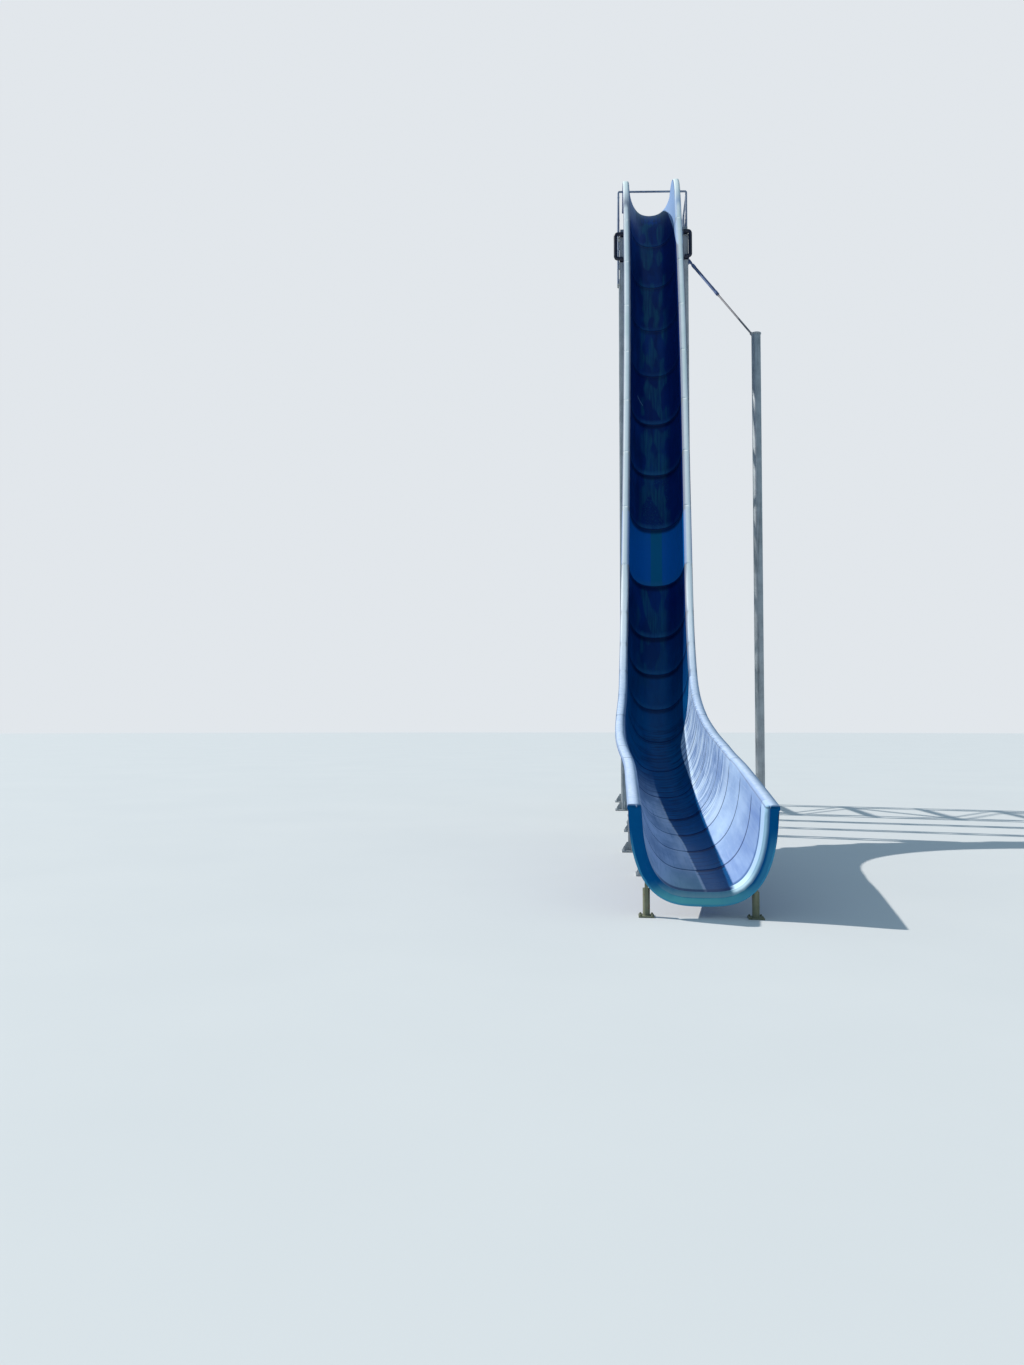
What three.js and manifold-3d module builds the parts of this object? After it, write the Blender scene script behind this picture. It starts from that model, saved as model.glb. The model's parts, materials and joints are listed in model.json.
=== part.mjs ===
// Speed slide with its start tower. Millimetres, Z up, +Y runs uphill from the exit, X to the right.
import * as THREE from 'three';
import Module from 'manifold-3d';

const wasm = await Module();
wasm.setup();

// Driving dimensions
const EXIT_FLOOR = 225;            // chute floor above the ground line at the exit
const RUNOUT_SLOPE = 5;            // degrees
const RUNOUT_LENGTH = 2650;
const CURVE_RADIUS = 5680;
const STEEP_SLOPE = 65.5;          // degrees
const CURVE_SECTIONS = 8;
const RUNOUT_SECTIONS = 3;
const STEEP_SECTIONS = 7;
const STEEP_SECTION = 1127;        // length of a straight section
const STEEP_START = 246;           // straight run at the top of the last curved section
const STEEP_LENGTH = 8762;
const CREST_RADIUS = 800;
const TUB_LENGTH = 900;
const BOW = 160;                   // the chute bows this far to the left in plan

const SHELL = 10;                  // laminate thickness
const JOINT_FLANGE = 55;           // depth of the bolted joint flanges
const FLANGE_THICK = 10;
const EXIT_FLANGE = 115;           // wide flat flange round the mouth
const BELL = 45;                   // the trough wall turns out into that flange on this radius
const LIP_DROP = 45;               // turned-down edge of the rolled lip
const LIP_ROLL = 35;
const LIP_EDGE = 18;
const GAP = 0.3;                   // clearance between touching pieces

const DECK_TOP = 11990;
const DECK_THICK = 60;
const DECK_HALF = 690;
const FRAME_DEPTH = 100;
const COLUMN = 110;                // square hollow section
const COLUMN_X = 650;
const TOWER_X = 85;                // the tower's middle stands this far right of the chute's
const NOTCH_HALF = 520;            // half the gap in the deck round the start tub
const FRONT_Y = 11680;
const REAR_Y = 13950;
const RAIL_X = 720;
const RAIL_Z = 13000;
const KNEE_RAIL_Z = 12500;
const BAR_Y = 12250;
const BAR_Z = 13105;
const BAR_SKEW = 56;               // the hoop stands askew: left leg this far forward, right leg back
const TUBE = 42;                   // tube of the hoop and the rails
const KNEE_TUBE = 38;

const BRACKET_TUBE = 76;
const BRACKET_LEFT = 786;          // from the tower's middle to the upright of the left bracket
const BRACKET_RIGHT = 740;
const BRACKET_TOP = 11875;
const BRACKET_LOW = 11356;
const BRACKET_BEND = 55;
const BRACKET_PAD = 40;            // the tube stands this far off the column

const POST_D = 168;                // stay post
const POST_X = 1900;
const POST_Y = 9900;
const POST_TOP = 9050;
const STAY_HEAD_Z = 11330;
const STAY_FOOT_Z = 8950;
const ROD = 36;

const rad = (degrees) => degrees * Math.PI / 180;
const smooth = (t) => { const k = Math.min(1, Math.max(0, t)); return k * k * (3 - 2 * k); };

// The line of the chute floor
const S_CURVE = RUNOUT_LENGTH;
const S_STEEP = S_CURVE + CURVE_RADIUS * rad(STEEP_SLOPE - RUNOUT_SLOPE);
const S_CREST = S_STEEP + STEEP_LENGTH;
const S_TUB = S_CREST + CREST_RADIUS * rad(STEEP_SLOPE);
const S_END = S_TUB + TUB_LENGTH;

const along = (point, slope, run) => ({
  y: point.y + run * Math.cos(slope), z: point.z + run * Math.sin(slope), slope,
});

function arc(point, from, to, radius) {
  // radius positive: the floor curls up as it goes uphill
  return {
    y: point.y + radius * (Math.sin(to) - Math.sin(from)),
    z: point.z + radius * (Math.cos(from) - Math.cos(to)),
    slope: to,
  };
}

const exitPoint = { y: 0, z: EXIT_FLOOR };
const curvePoint = along(exitPoint, rad(RUNOUT_SLOPE), RUNOUT_LENGTH);
const steepPoint = arc(curvePoint, rad(RUNOUT_SLOPE), rad(STEEP_SLOPE), CURVE_RADIUS);
const crestPoint = along(steepPoint, rad(STEEP_SLOPE), STEEP_LENGTH);
const tubPoint = arc(crestPoint, rad(STEEP_SLOPE), 0, -CREST_RADIUS);

function floorAt(s) {
  if (s <= S_CURVE) return along(exitPoint, rad(RUNOUT_SLOPE), s);
  if (s <= S_STEEP) {
    const slope = rad(RUNOUT_SLOPE) + (s - S_CURVE) / CURVE_RADIUS;
    return arc(curvePoint, rad(RUNOUT_SLOPE), slope, CURVE_RADIUS);
  }
  if (s <= S_CREST) return along(steepPoint, rad(STEEP_SLOPE), s - S_STEEP);
  if (s <= S_TUB) {
    const slope = rad(STEEP_SLOPE) - (s - S_CREST) / CREST_RADIUS;
    return arc(crestPoint, rad(STEEP_SLOPE), slope, -CREST_RADIUS);
  }
  return along(tubPoint, 0, s - S_TUB);
}

function bowAt(y) {
  const reach = y < 5100 ? 3100 : 5500;
  const t = Math.min(1, Math.abs(y - 5100) / reach);
  return -BOW * 0.5 * (1 + Math.cos(Math.PI * t));
}

// chute size along the run: outside width, depth and lip width
function sizeAt(s) {
  const square = Math.max(0, 1 - Math.max(0, s - BELL) / (RUNOUT_LENGTH - BELL)) ** 2;
  const flare = smooth((6100 - s) / 2800);
  const width = 1110 + 238 * flare;
  const lip = 125 + 8 * flare;
  const deep = 670 + 260 * smooth((8900 - s) / 5500);
  const depth = s < 3400 ? 800 + 130 * s / 3400 : deep;
  return { half: width / 2 - lip, lip, depth, square };
}

// chute wall from the middle of the floor up to the roll of the lip: share of half width, of depth
const WALL = [
  [0, 0], [0.17, 0.0075], [0.34, 0.034], [0.49, 0.079], [0.62, 0.155], [0.74, 0.255],
  [0.83, 0.375], [0.9, 0.5], [0.95, 0.64], [0.985, 0.8], [1, 1],
];

// the same heights at the mouth, where the trough is squarer
const MOUTH_WALL = [0, 0.001, 0.009, 0.034, 0.083, 0.168, 0.275, 0.405, 0.553, 0.737, 1];

function wallPoints({ half, depth, square }) {
  const top = depth - LIP_ROLL;
  return WALL.map(([x, v], i) => [x * half, (v + (MOUTH_WALL[i] - v) * square) * top]);
}

// outside of the shell or of a flange, offset from the inner wall
function outerWall(size, offset, cap) {
  const wall = wallPoints(size);
  return wall.map(([x, v], i) => {
    const [x0, v0] = wall[Math.max(0, i - 1)];
    const [x1, v1] = wall[Math.min(wall.length - 1, i + 1)];
    let dx = x1 - x0;
    let dv = v1 - v0;
    if (i === 0) { dx = 1; dv = 0; }
    if (i === wall.length - 1) { dx = 0; dv = 1; }
    const length = Math.hypot(dx, dv);
    return [x + dv / length * offset, Math.min(cap, v - dx / length * offset)];
  });
}

// closed outline of the chute section in its own plane
function chuteOutline(s, flange, bell = 0, back = bell) {
  const size = sizeAt(s);
  const { half, lip, depth } = size;
  const k = Math.SQRT1_2;
  const inner = bell ? outerWall(size, bell, depth) : wallPoints(size);
  inner.push([half + bell + LIP_ROLL * (1 - k), depth - LIP_ROLL * (1 - k)]);
  inner.push([half + bell + LIP_ROLL, depth]);
  inner.push([half + lip - LIP_EDGE, depth]);
  inner.push([half + lip - LIP_EDGE * (1 - k), depth - LIP_EDGE * (1 - k)]);
  inner.push([half + lip, depth - LIP_EDGE]);
  inner.push([half + lip, depth - LIP_DROP]);
  const under = LIP_ROLL - SHELL;
  let outer;
  if (flange) {
    const edge = depth - LIP_DROP;
    const side = Math.min(half + SHELL + flange, half + lip - SHELL - 9);
    outer = outerWall(size, SHELL + flange, edge - 12).map(([x, v]) => [Math.min(x, side), v]);
    outer.push([side + 2, edge - 8], [side + 4, edge - 4]);
    outer.push([half + lip - SHELL - 3, edge - 2], [half + lip - SHELL, edge]);
    if (flange > 100) {
      outer = outerWall(size, SHELL + flange, depth - LIP_DROP - 12);
      outer.push([half + lip - 3, edge - 9], [half + lip - 2, edge - 6]);
      outer.push([half + lip - 1, edge - 4], [half + lip, edge - 2]);
    }
  } else {
    outer = outerWall(size, SHELL + back, depth);
    outer.push([half + back + LIP_ROLL - under * k, depth - LIP_ROLL + under * k]);
    outer.push([half + back + LIP_ROLL, depth - SHELL]);
    outer.push([half + lip - SHELL, depth - SHELL], [half + lip - SHELL, depth - LIP_DROP]);
  }
  // outside to the right and up, back along the inside, then the same mirrored
  const mirror = ([x, v]) => [-x, v];
  return [
    ...outer, ...inner.slice(1).reverse(), inner[0],
    ...inner.slice(1).map(mirror), ...outer.slice(1).map(mirror).reverse(),
  ];
}

// Mesh helpers
function indexed(triangles) {
  const index = new Map();
  const points = [];
  const faces = [];
  const id = (p) => {
    const key = p.map((c) => Math.round(c * 500)).join(',');
    if (!index.has(key)) { index.set(key, points.length / 3); points.push(...p); }
    return index.get(key);
  };
  for (const t of triangles) {
    const [a, b, c] = t.map(id);
    if (a !== b && b !== c && c !== a) faces.push(a, b, c);
  }
  const geometry = new THREE.BufferGeometry();
  geometry.setAttribute('position', new THREE.Float32BufferAttribute(points, 3));
  geometry.setIndex(faces);
  return geometry;
}

// place a point of a chute section: across, up from the floor, and a little along the run
function place(s, [u, v], nudge = 0) {
  const f = floorAt(s);
  const y = f.y + nudge * Math.cos(f.slope);
  const z = f.z + nudge * Math.sin(f.slope);
  return [bowAt(f.y) + u, y - v * Math.sin(f.slope), z + v * Math.cos(f.slope)];
}

function loft(rings) {
  const triangles = [];
  for (let i = 0; i + 1 < rings.length; i += 1) {
    const a = rings[i];
    const b = rings[i + 1];
    for (let j = 0; j < a.points.length; j += 1) {
      const k = (j + 1) % a.points.length;
      triangles.push([a.points[j], b.points[j], a.points[k]]);
      triangles.push([a.points[k], b.points[j], b.points[k]]);
    }
  }
  for (const [ring, first] of [[rings[0], true], [rings[rings.length - 1], false]]) {
    const flat = ring.outline.map(([u, v]) => new THREE.Vector2(u, v));
    for (const [a, b, c] of THREE.ShapeUtils.triangulateShape(flat, [])) {
      const [p, q, r] = [ring.points[a], ring.points[b], ring.points[c]];
      triangles.push(first ? [p, q, r] : [p, r, q]);
    }
  }
  return indexed(triangles);
}

function chuteSection(from, to, facets, mouth = false) {
  const ring = (s, nudge, flange, bell, back) => {
    const outline = chuteOutline(s, flange, bell, back);
    return { outline, points: outline.map((p) => place(s, p, nudge)) };
  };
  const half = GAP / 2;
  const rings = [];
  if (mouth) {
    // quarter rounds inside and on the back, one laminate thickness apart
    const front = (run) => BELL - Math.sqrt(BELL ** 2 - (BELL - run) ** 2);
    const rear = (run) => BELL - Math.sqrt(Math.max(0, (BELL - SHELL) ** 2 - (BELL - run) ** 2));
    rings.push(ring(from, 0, EXIT_FLANGE, BELL), ring(from, 3.5, EXIT_FLANGE, front(3.5)));
    rings.push(ring(from, FLANGE_THICK, EXIT_FLANGE, front(FLANGE_THICK)));
    for (const run of [FLANGE_THICK, 17, 27]) {
      rings.push(ring(from, run, 0, front(run), rear(run) - SHELL));
    }
    rings.push(ring(from, BELL, 0));
  } else {
    rings.push(ring(from, half, JOINT_FLANGE), ring(from, FLANGE_THICK, JOINT_FLANGE));
    rings.push(ring(from, FLANGE_THICK, 0));
  }
  for (let i = 1; i < facets; i += 1) rings.push(ring(from + (to - from) * i / facets, 0, 0));
  rings.push(
    ring(to, -FLANGE_THICK, 0), ring(to, -FLANGE_THICK, JOINT_FLANGE),
    ring(to, -half, JOINT_FLANGE),
  );
  return loft(rings);
}

function box(x0, x1, y0, y1, z0, z1) {
  const g = new THREE.BoxGeometry(x1 - x0, y1 - y0, z1 - z0);
  g.translate((x0 + x1) / 2, (y0 + y1) / 2, (z0 + z1) / 2);
  return g;
}

// bar between two points, with a square, flat or many-sided section
function bar(from, to, width, depth = width, sides = 4) {
  const a = new THREE.Vector3(...from);
  const b = new THREE.Vector3(...to);
  const run = b.clone().sub(a);
  const g = sides === 4
    ? new THREE.BoxGeometry(width, run.length(), depth)
    : new THREE.CylinderGeometry(width / 2, width / 2, run.length(), sides);
  if (sides !== 4) g.rotateY(Math.PI / sides);
  const up = run.clone().normalize();
  const across = Math.abs(up.x) > 0.9 ? new THREE.Vector3(0, 1, 0) : new THREE.Vector3(1, 0, 0);
  const side = across.clone().sub(up.clone().multiplyScalar(across.dot(up))).normalize();
  const front = side.clone().cross(up);
  g.applyMatrix4(new THREE.Matrix4().makeBasis(side, up, front));
  const mid = a.add(b).multiplyScalar(0.5);
  g.translate(mid.x, mid.y, mid.z);
  return g;
}

function solid(geometry) {
  const merged = geometry.index && !geometry.attributes.normal
    ? geometry
    : indexed(trianglesOf(geometry));
  const mesh = new wasm.Mesh({
    numProp: 3,
    vertProperties: new Float32Array(merged.attributes.position.array),
    triVerts: new Uint32Array(merged.index.array),
  });
  return new wasm.Manifold(mesh);
}

function trianglesOf(geometry) {
  const p = geometry.attributes.position;
  const order = geometry.index ? geometry.index.array : [...Array(p.count).keys()];
  const out = [];
  const at = (i) => [p.getX(i), p.getY(i), p.getZ(i)];
  for (let i = 0; i < order.length; i += 3) {
    out.push([at(order[i]), at(order[i + 1]), at(order[i + 2])]);
  }
  return out;
}

function fused(adds, cuts = []) {
  let body = solid(adds[0]);
  for (const g of adds.slice(1)) body = body.add(solid(g));
  for (const g of cuts) body = body.subtract(solid(g));
  const mesh = body.getMesh();
  const geometry = new THREE.BufferGeometry();
  const points = [];
  for (let i = 0; i < mesh.vertProperties.length; i += mesh.numProp) {
    points.push(mesh.vertProperties[i], mesh.vertProperties[i + 1], mesh.vertProperties[i + 2]);
  }
  geometry.setAttribute('position', new THREE.Float32BufferAttribute(points, 3));
  geometry.setIndex([...mesh.triVerts]);
  return geometry;
}

// round tube bent through a list of points
function bentTube(points, diameter, sides = 10) {
  const path = points.map((p) => new THREE.Vector3(...p));
  const rings = path.map((p, i) => {
    const before = i ? p.clone().sub(path[i - 1]).normalize() : null;
    const after = i < path.length - 1 ? path[i + 1].clone().sub(p).normalize() : null;
    const run = (before ?? after).clone().add(after ?? before).normalize();
    const stretch = before && after ? 1 / Math.sqrt((1 + before.dot(after)) / 2) : 1;
    const side = new THREE.Vector3(0, 1, 0);
    const other = run.clone().cross(side).normalize();
    return Array.from({ length: sides }, (_, j) => {
      const angle = (j + 0.5) * 2 * Math.PI / sides;
      const q = p.clone().addScaledVector(side, Math.cos(angle) * diameter / 2);
      return q.addScaledVector(other, Math.sin(angle) * diameter / 2 * stretch).toArray();
    });
  });
  const triangles = [];
  for (let i = 0; i + 1 < rings.length; i += 1) {
    for (let j = 0; j < sides; j += 1) {
      const k = (j + 1) % sides;
      triangles.push([rings[i][j], rings[i][k], rings[i + 1][j]]);
      triangles.push([rings[i][k], rings[i + 1][k], rings[i + 1][j]]);
    }
  }
  for (let j = 1; j + 1 < sides; j += 1) {
    triangles.push([rings[0][0], rings[0][j + 1], rings[0][j]]);
    const last = rings[rings.length - 1];
    triangles.push([last[0], last[j], last[j + 1]]);
  }
  return indexed(triangles);
}

const group = new THREE.Group();

function add(name, geometry) {
  const mesh = new THREE.Mesh(geometry, new THREE.MeshStandardMaterial());
  mesh.name = name;
  group.add(mesh);
}

// Chute sections
const runoutStep = RUNOUT_LENGTH / RUNOUT_SECTIONS;
const curveStep = (S_STEEP - S_CURVE) / CURVE_SECTIONS;
add('exit_section', chuteSection(0, runoutStep, 3, true));
for (let i = 1; i < RUNOUT_SECTIONS; i += 1) {
  add(`runout_section_${i}`, chuteSection(i * runoutStep, (i + 1) * runoutStep, 2));
}
for (let i = 0; i < CURVE_SECTIONS; i += 1) {
  const to = S_CURVE + (i + 1) * curveStep + (i === CURVE_SECTIONS - 1 ? STEEP_START : 0);
  add(`curve_section_${i + 1}`, chuteSection(S_CURVE + i * curveStep, to, 3));
}
const steepJoint = (k) => S_STEEP + STEEP_START + k * STEEP_SECTION;
for (let i = 0; i < STEEP_SECTIONS; i += 1) {
  add(`steep_section_${i + 1}`, chuteSection(steepJoint(i), steepJoint(i + 1), 1));
}

// crest: short straight, then rolls over to the level start tub
function crestSection(from, straightEnd, to, facets) {
  const ring = (s, nudge, flange) => {
    const outline = chuteOutline(s, flange);
    return { outline, points: outline.map((p) => place(s, p, nudge)) };
  };
  const rings = [
    ring(from, GAP / 2, JOINT_FLANGE), ring(from, FLANGE_THICK, JOINT_FLANGE),
    ring(from, FLANGE_THICK, 0),
  ];
  for (let i = 0; i < facets; i += 1) {
    rings.push(ring(straightEnd + (to - straightEnd) * i / facets, 0, 0));
  }
  rings.push(
    ring(to, -FLANGE_THICK, 0), ring(to, -FLANGE_THICK, JOINT_FLANGE),
    ring(to, -GAP / 2, JOINT_FLANGE),
  );
  return loft(rings);
}
add('crest_section', crestSection(steepJoint(STEEP_SECTIONS), S_CREST, S_TUB, 5));
add('start_tub', chuteSection(S_TUB, S_END, 1));

// Frames that carry the chute
const LEG = 90;
const LEG_X = 395;
const FOOT = 260;
const FOOT_THICK = 20;
const SADDLE_THICK = 16;
const FRAME_BEAM = 90;
const RUNG = 60;
const BRACE = 40;

function foot(x, y, size = FOOT) {
  return box(x - size / 2, x + size / 2, y - size / 2, y + size / 2, 0, FOOT_THICK);
}

// saddle plate shaped to the chute, on the uphill face of a joint flange
function saddle(s) {
  const size = sizeAt(s);
  const rise = 0.3 * size.depth;
  const skin = outerWall(size, SHELL + 4, rise);
  const inside = skin.filter(([, v]) => v < rise - 1);
  const wide = LEG_X + LEG / 2 + 20;
  const lowest = -SHELL - JOINT_FLANGE - 30;
  const before = skin[inside.length - 1];
  const after = outerWall(size, SHELL + 4, 1e9)[inside.length];
  const share = (rise - before[1]) / (after[1] - before[1]);
  const meet = [before[0] + share * (after[0] - before[0]), rise];
  const side = Math.max(wide, meet[0] + 40);
  const up = [...inside.slice(1), meet];
  const outline = [
    [-side, lowest], [side, lowest], [side, rise], ...up.slice().reverse(), inside[0],
    ...up.map(([x, v]) => [-x, v]), [-side, rise],
  ];
  const ring = (nudge) => ({ outline, points: outline.map((p) => place(s, p, nudge)) });
  return loft([ring(FLANGE_THICK + GAP), ring(FLANGE_THICK + GAP + SADDLE_THICK)]);
}

function supportFrame(s, rungs, braced) {
  const f = floorAt(s);
  const shift = bowAt(f.y);
  const down = SHELL + JOINT_FLANGE + GAP;
  // beam across, square to the chute, right under the joint flanges
  const reach = LEG_X + LEG / 2;
  const outline = [
    [-reach, -down - FRAME_BEAM], [reach, -down - FRAME_BEAM], [reach, -down], [-reach, -down],
  ];
  const ring = (nudge) => ({ outline, points: outline.map((p) => place(s, p, nudge)) });
  const beam = loft([ring(-FRAME_BEAM / 2), ring(FRAME_BEAM / 2)]);
  const [, y, z] = place(s, [0, -down - FRAME_BEAM / 2], 0);
  const parts = [beam, saddle(s)];
  for (const side of [-1, 1]) {
    const x = shift + side * LEG_X;
    parts.push(box(x - LEG / 2, x + LEG / 2, y - LEG / 2, y + LEG / 2, 0, z));
    parts.push(foot(x, y));
  }
  const bays = [];
  for (let i = 0; i < rungs; i += 1) {
    const at = 300 + (z - 600) * i / Math.max(1, rungs - 1);
    bays.push(at);
    parts.push(bar([shift - LEG_X, y, at], [shift + LEG_X, y, at], RUNG));
  }
  if (braced) {
    for (let i = 0; i + 1 < bays.length; i += 1) {
      const side = i % 2 ? -1 : 1;
      const from = [shift - side * LEG_X, y, bays[i]];
      parts.push(bar(from, [shift + side * LEG_X, y, bays[i + 1]], BRACE));
    }
  }
  return fused(parts);
}

add('runout_frame', supportFrame(S_CURVE, 0, false));
add('curve_frame', supportFrame(S_CURVE + 3 * curveStep, 1, false));
add('low_frame', supportFrame(steepJoint(0), 3, true));
add('middle_frame', supportFrame(steepJoint(3), 6, true));
add('high_frame', supportFrame(steepJoint(6), 8, true));

// two short round posts hold the mouth, each with a cleat that lies flat on the back of its flange
const POST = 66;
const POST_AT = 47;
for (const [name, x, high, reach] of [['left', -505, 255, 150], ['right', 468, 235, 105]]) {
  const outline = [[x - 15, -60], [x + 15, -60], [x + 15, reach], [x - 15, reach]];
  const cleat = (nudge) => ({ outline, points: outline.map((p) => place(0, p, nudge)) });
  add(`${name}_exit_post`, fused([
    bar([x, POST_AT, 0], [x, POST_AT, high], POST, POST, 16),
    box(x - 70, x + 70, POST_AT - 70, POST_AT + 70, 0, 12),
    loft([cleat(FLANGE_THICK + GAP), cleat(34)]),
  ]));
}

// Start tower
const FRAME_TOP = DECK_TOP - DECK_THICK - GAP;
const COLUMN_TOP = FRAME_TOP - FRAME_DEPTH - GAP;
const TUB_BASE = tubPoint.z - SHELL - JOINT_FLANGE - GAP;
const HEAD_PLATE = 180;
const columns = {
  front_left: [TOWER_X - COLUMN_X, FRONT_Y], front_right: [TOWER_X + COLUMN_X, FRONT_Y],
  rear_left: [TOWER_X - COLUMN_X, REAR_Y], rear_right: [TOWER_X + COLUMN_X, REAR_Y],
};
for (const [name, [x, y]] of Object.entries(columns)) {
  const h = COLUMN / 2;
  const head = HEAD_PLATE / 2;
  add(`${name}_column`, fused([
    box(x - h, x + h, y - h, y + h, 0, COLUMN_TOP), foot(x, y, 380),
    box(x - head, x + head, y - head, y + head, COLUMN_TOP - 16, COLUMN_TOP),
  ]));
}

// zigzag of bars between two columns, one flat lattice
const LEVEL_BAR = 60;
const DIAGONAL = 45;
const levels = Array.from({ length: 9 }, (_, k) => 500 + 1400 * k);
function lattice(point, reach, up) {
  const parts = [];
  for (const z of levels) parts.push(bar(point(0, z), point(reach, z), LEVEL_BAR));
  for (let i = 0; i + 1 < levels.length; i += 1) {
    const [a, b] = (i + (up ? 0 : 1)) % 2 ? [reach - 30, 30] : [30, reach - 30];
    parts.push(bar(point(a, levels[i]), point(b, levels[i + 1]), DIAGONAL));
  }
  return fused(parts);
}
const sideStart = FRONT_Y + COLUMN / 2 + GAP;
const sideReach = REAR_Y - FRONT_Y - COLUMN - 2 * GAP;
const crossStart = TOWER_X - COLUMN_X + COLUMN / 2 + GAP;
const crossReach = 2 * COLUMN_X - COLUMN - 2 * GAP;
for (const [name, x] of [['left', TOWER_X - COLUMN_X], ['right', TOWER_X + COLUMN_X]]) {
  const point = (along_, z) => [x, sideStart + along_, z];
  add(`${name}_side_bracing`, lattice(point, sideReach, x < 0));
}
for (const [name, y] of [['front', FRONT_Y], ['rear', REAR_Y]]) {
  const point = (along_, z) => [crossStart + along_, y, z];
  add(`${name}_bracing`, lattice(point, crossReach, y > 12000));
}

// ring of beams on the column heads, with raised bearers for the tub
const low = FRAME_TOP - FRAME_DEPTH;
const tubRear = floorAt(S_END).y;
add('platform_frame', fused([
  box(TOWER_X - DECK_HALF, TOWER_X - DECK_HALF + 100, FRONT_Y - 55, REAR_Y + 50, low, FRAME_TOP),
  box(TOWER_X + DECK_HALF - 100, TOWER_X + DECK_HALF, FRONT_Y - 55, REAR_Y + 50, low, FRAME_TOP),
  ...[FRONT_Y, tubRear - 40, 13270, REAR_Y].map((y) => (
    box(TOWER_X - 650, TOWER_X + 650, y - 42, y + 42, low + 4, FRAME_TOP - 4)
  )),
  box(-NOTCH_HALF + 10, NOTCH_HALF - 10, FRONT_Y - 36, FRONT_Y + 36, low + 20, TUB_BASE),
  box(-NOTCH_HALF + 10, NOTCH_HALF - 10, tubRear - 74, tubRear, low + 20, TUB_BASE),
]));

// deck, open round the tub
add('platform_deck', fused(
  [box(TOWER_X - DECK_HALF, TOWER_X + DECK_HALF, FRONT_Y - 90, REAR_Y + 150,
    DECK_TOP - DECK_THICK, DECK_TOP)],
  [box(-NOTCH_HALF, NOTCH_HALF, FRONT_Y - 200, tubRear + 15 + GAP, DECK_TOP - 200, DECK_TOP + 200)],
));

// bent tubes under the deck edge, fixed to the front of the beams and the columns
for (const [name, side, out] of [['left', -1, BRACKET_LEFT], ['right', 1, BRACKET_RIGHT]]) {
  const y = FRONT_Y - COLUMN / 2 - BRACKET_TUBE / 2 - BRACKET_PAD;
  const chamfer = BRACKET_BEND * 0.3;
  const inner = out - BRACKET_BEND;
  const line = [
    [615, BRACKET_TOP], [inner, BRACKET_TOP],
    [out - chamfer, BRACKET_TOP - chamfer], [out, BRACKET_TOP - BRACKET_BEND],
    [out, BRACKET_LOW + BRACKET_BEND], [out - chamfer, BRACKET_LOW + chamfer],
    [inner, BRACKET_LOW], [640, BRACKET_LOW],
  ];
  const tube = bentTube(line.map(([x, z]) => [TOWER_X + side * x, y, z]), BRACKET_TUBE);
  const front = FRONT_Y - COLUMN / 2 - GAP;
  const middle = TOWER_X + side * 655;
  const pads = [BRACKET_TOP, BRACKET_LOW].map((z) => (
    box(middle - 25, middle + 25, y, front, z - 26, z + 26)
  ));
  add(`${name}_deck_bracket`, fused([tube, ...pads]));
}

// start bar: a hoop across the tub, its legs run down beside the deck to plates on the beams
const LEG_LOW = DECK_TOP - 145;
const sidePlate = (side, y) => {
  const near = TOWER_X + side * (DECK_HALF + GAP);
  const far = TOWER_X + side * (RAIL_X - 12);
  return box(Math.min(near, far), Math.max(near, far), y - 45, y + 45, LEG_LOW - 5, DECK_TOP - 5);
};
const barY = (side) => BAR_Y + side * BAR_SKEW;
const hoopHalf = [
  [RAIL_X, LEG_LOW], [RAIL_X, BAR_Z - 40], [RAIL_X - 12, BAR_Z - 12], [RAIL_X - 40, BAR_Z],
];
const hoop = [...hoopHalf.map(([x, z]) => [-x, z]), ...hoopHalf.slice().reverse()];
add('start_bar', fused([
  bentTube(hoop.map(([x, z]) => [TOWER_X + x, barY(x / RAIL_X), z]), TUBE),
  sidePlate(-1, barY(-1)), sidePlate(1, barY(1)),
]));

// side rails behind the start bar
for (const [name, side] of [['left', -1], ['right', 1]]) {
  const x = TOWER_X + side * RAIL_X;
  const y0 = barY(side) + TUBE / 2 + GAP;
  const y1 = REAR_Y + 60;
  const parts = [
    bar([x, y0, RAIL_Z], [x, y1, RAIL_Z], TUBE, TUBE, 8),
    bar([x, y0, KNEE_RAIL_Z], [x, y1, KNEE_RAIL_Z], KNEE_TUBE, KNEE_TUBE, 8),
  ];
  for (const y of [13130, y1 - TUBE / 2]) {
    parts.push(bar([x, y, LEG_LOW], [x, y, RAIL_Z], TUBE, TUBE, 8), sidePlate(side, y));
  }
  add(`${name}_side_rail`, fused(parts));
}

// Stay with its post: a plate on the column, an open turnbuckle with two nuts, a rod, and a lug
const stayHead = new THREE.Vector3(TOWER_X + COLUMN_X + COLUMN / 2 + GAP, FRONT_Y, STAY_HEAD_Z);
const stayFoot = new THREE.Vector3(POST_X, POST_Y, STAY_FOOT_Z);
const onStay = (share) => stayHead.clone().lerp(stayFoot, share).toArray();
const stayBar = (from, to, width, depth = width) => bar(onStay(from), onStay(to), width, depth, 8);
const NUT = 74;
const BUCKLE = 44;
add('stay_turnbuckle', fused([
  box(stayHead.x, stayHead.x + 14, FRONT_Y - 50, FRONT_Y + 50, STAY_HEAD_Z - 90, STAY_HEAD_Z + 70),
  stayBar(0.0135, 0.14, 30), stayBar(0.075, 0.11, NUT, 60),
  stayBar(0.09, 0.44, BUCKLE), stayBar(0.425, 0.46, NUT, 60),
]));
add('stay_rod', fused([stayBar(0.4602, 0.932, ROD)]));
const postPart = (from, to, diameter) => (
  bar([POST_X, POST_Y, from], [POST_X, POST_Y, to], diameter, diameter, 12)
);
add('stay_post', fused([
  postPart(0, POST_TOP, POST_D), foot(POST_X, POST_Y, 480), stayBar(0.9322, 1, 60),
  postPart(POST_TOP - 10, POST_TOP + 12, POST_D + 24),
]));

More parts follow.
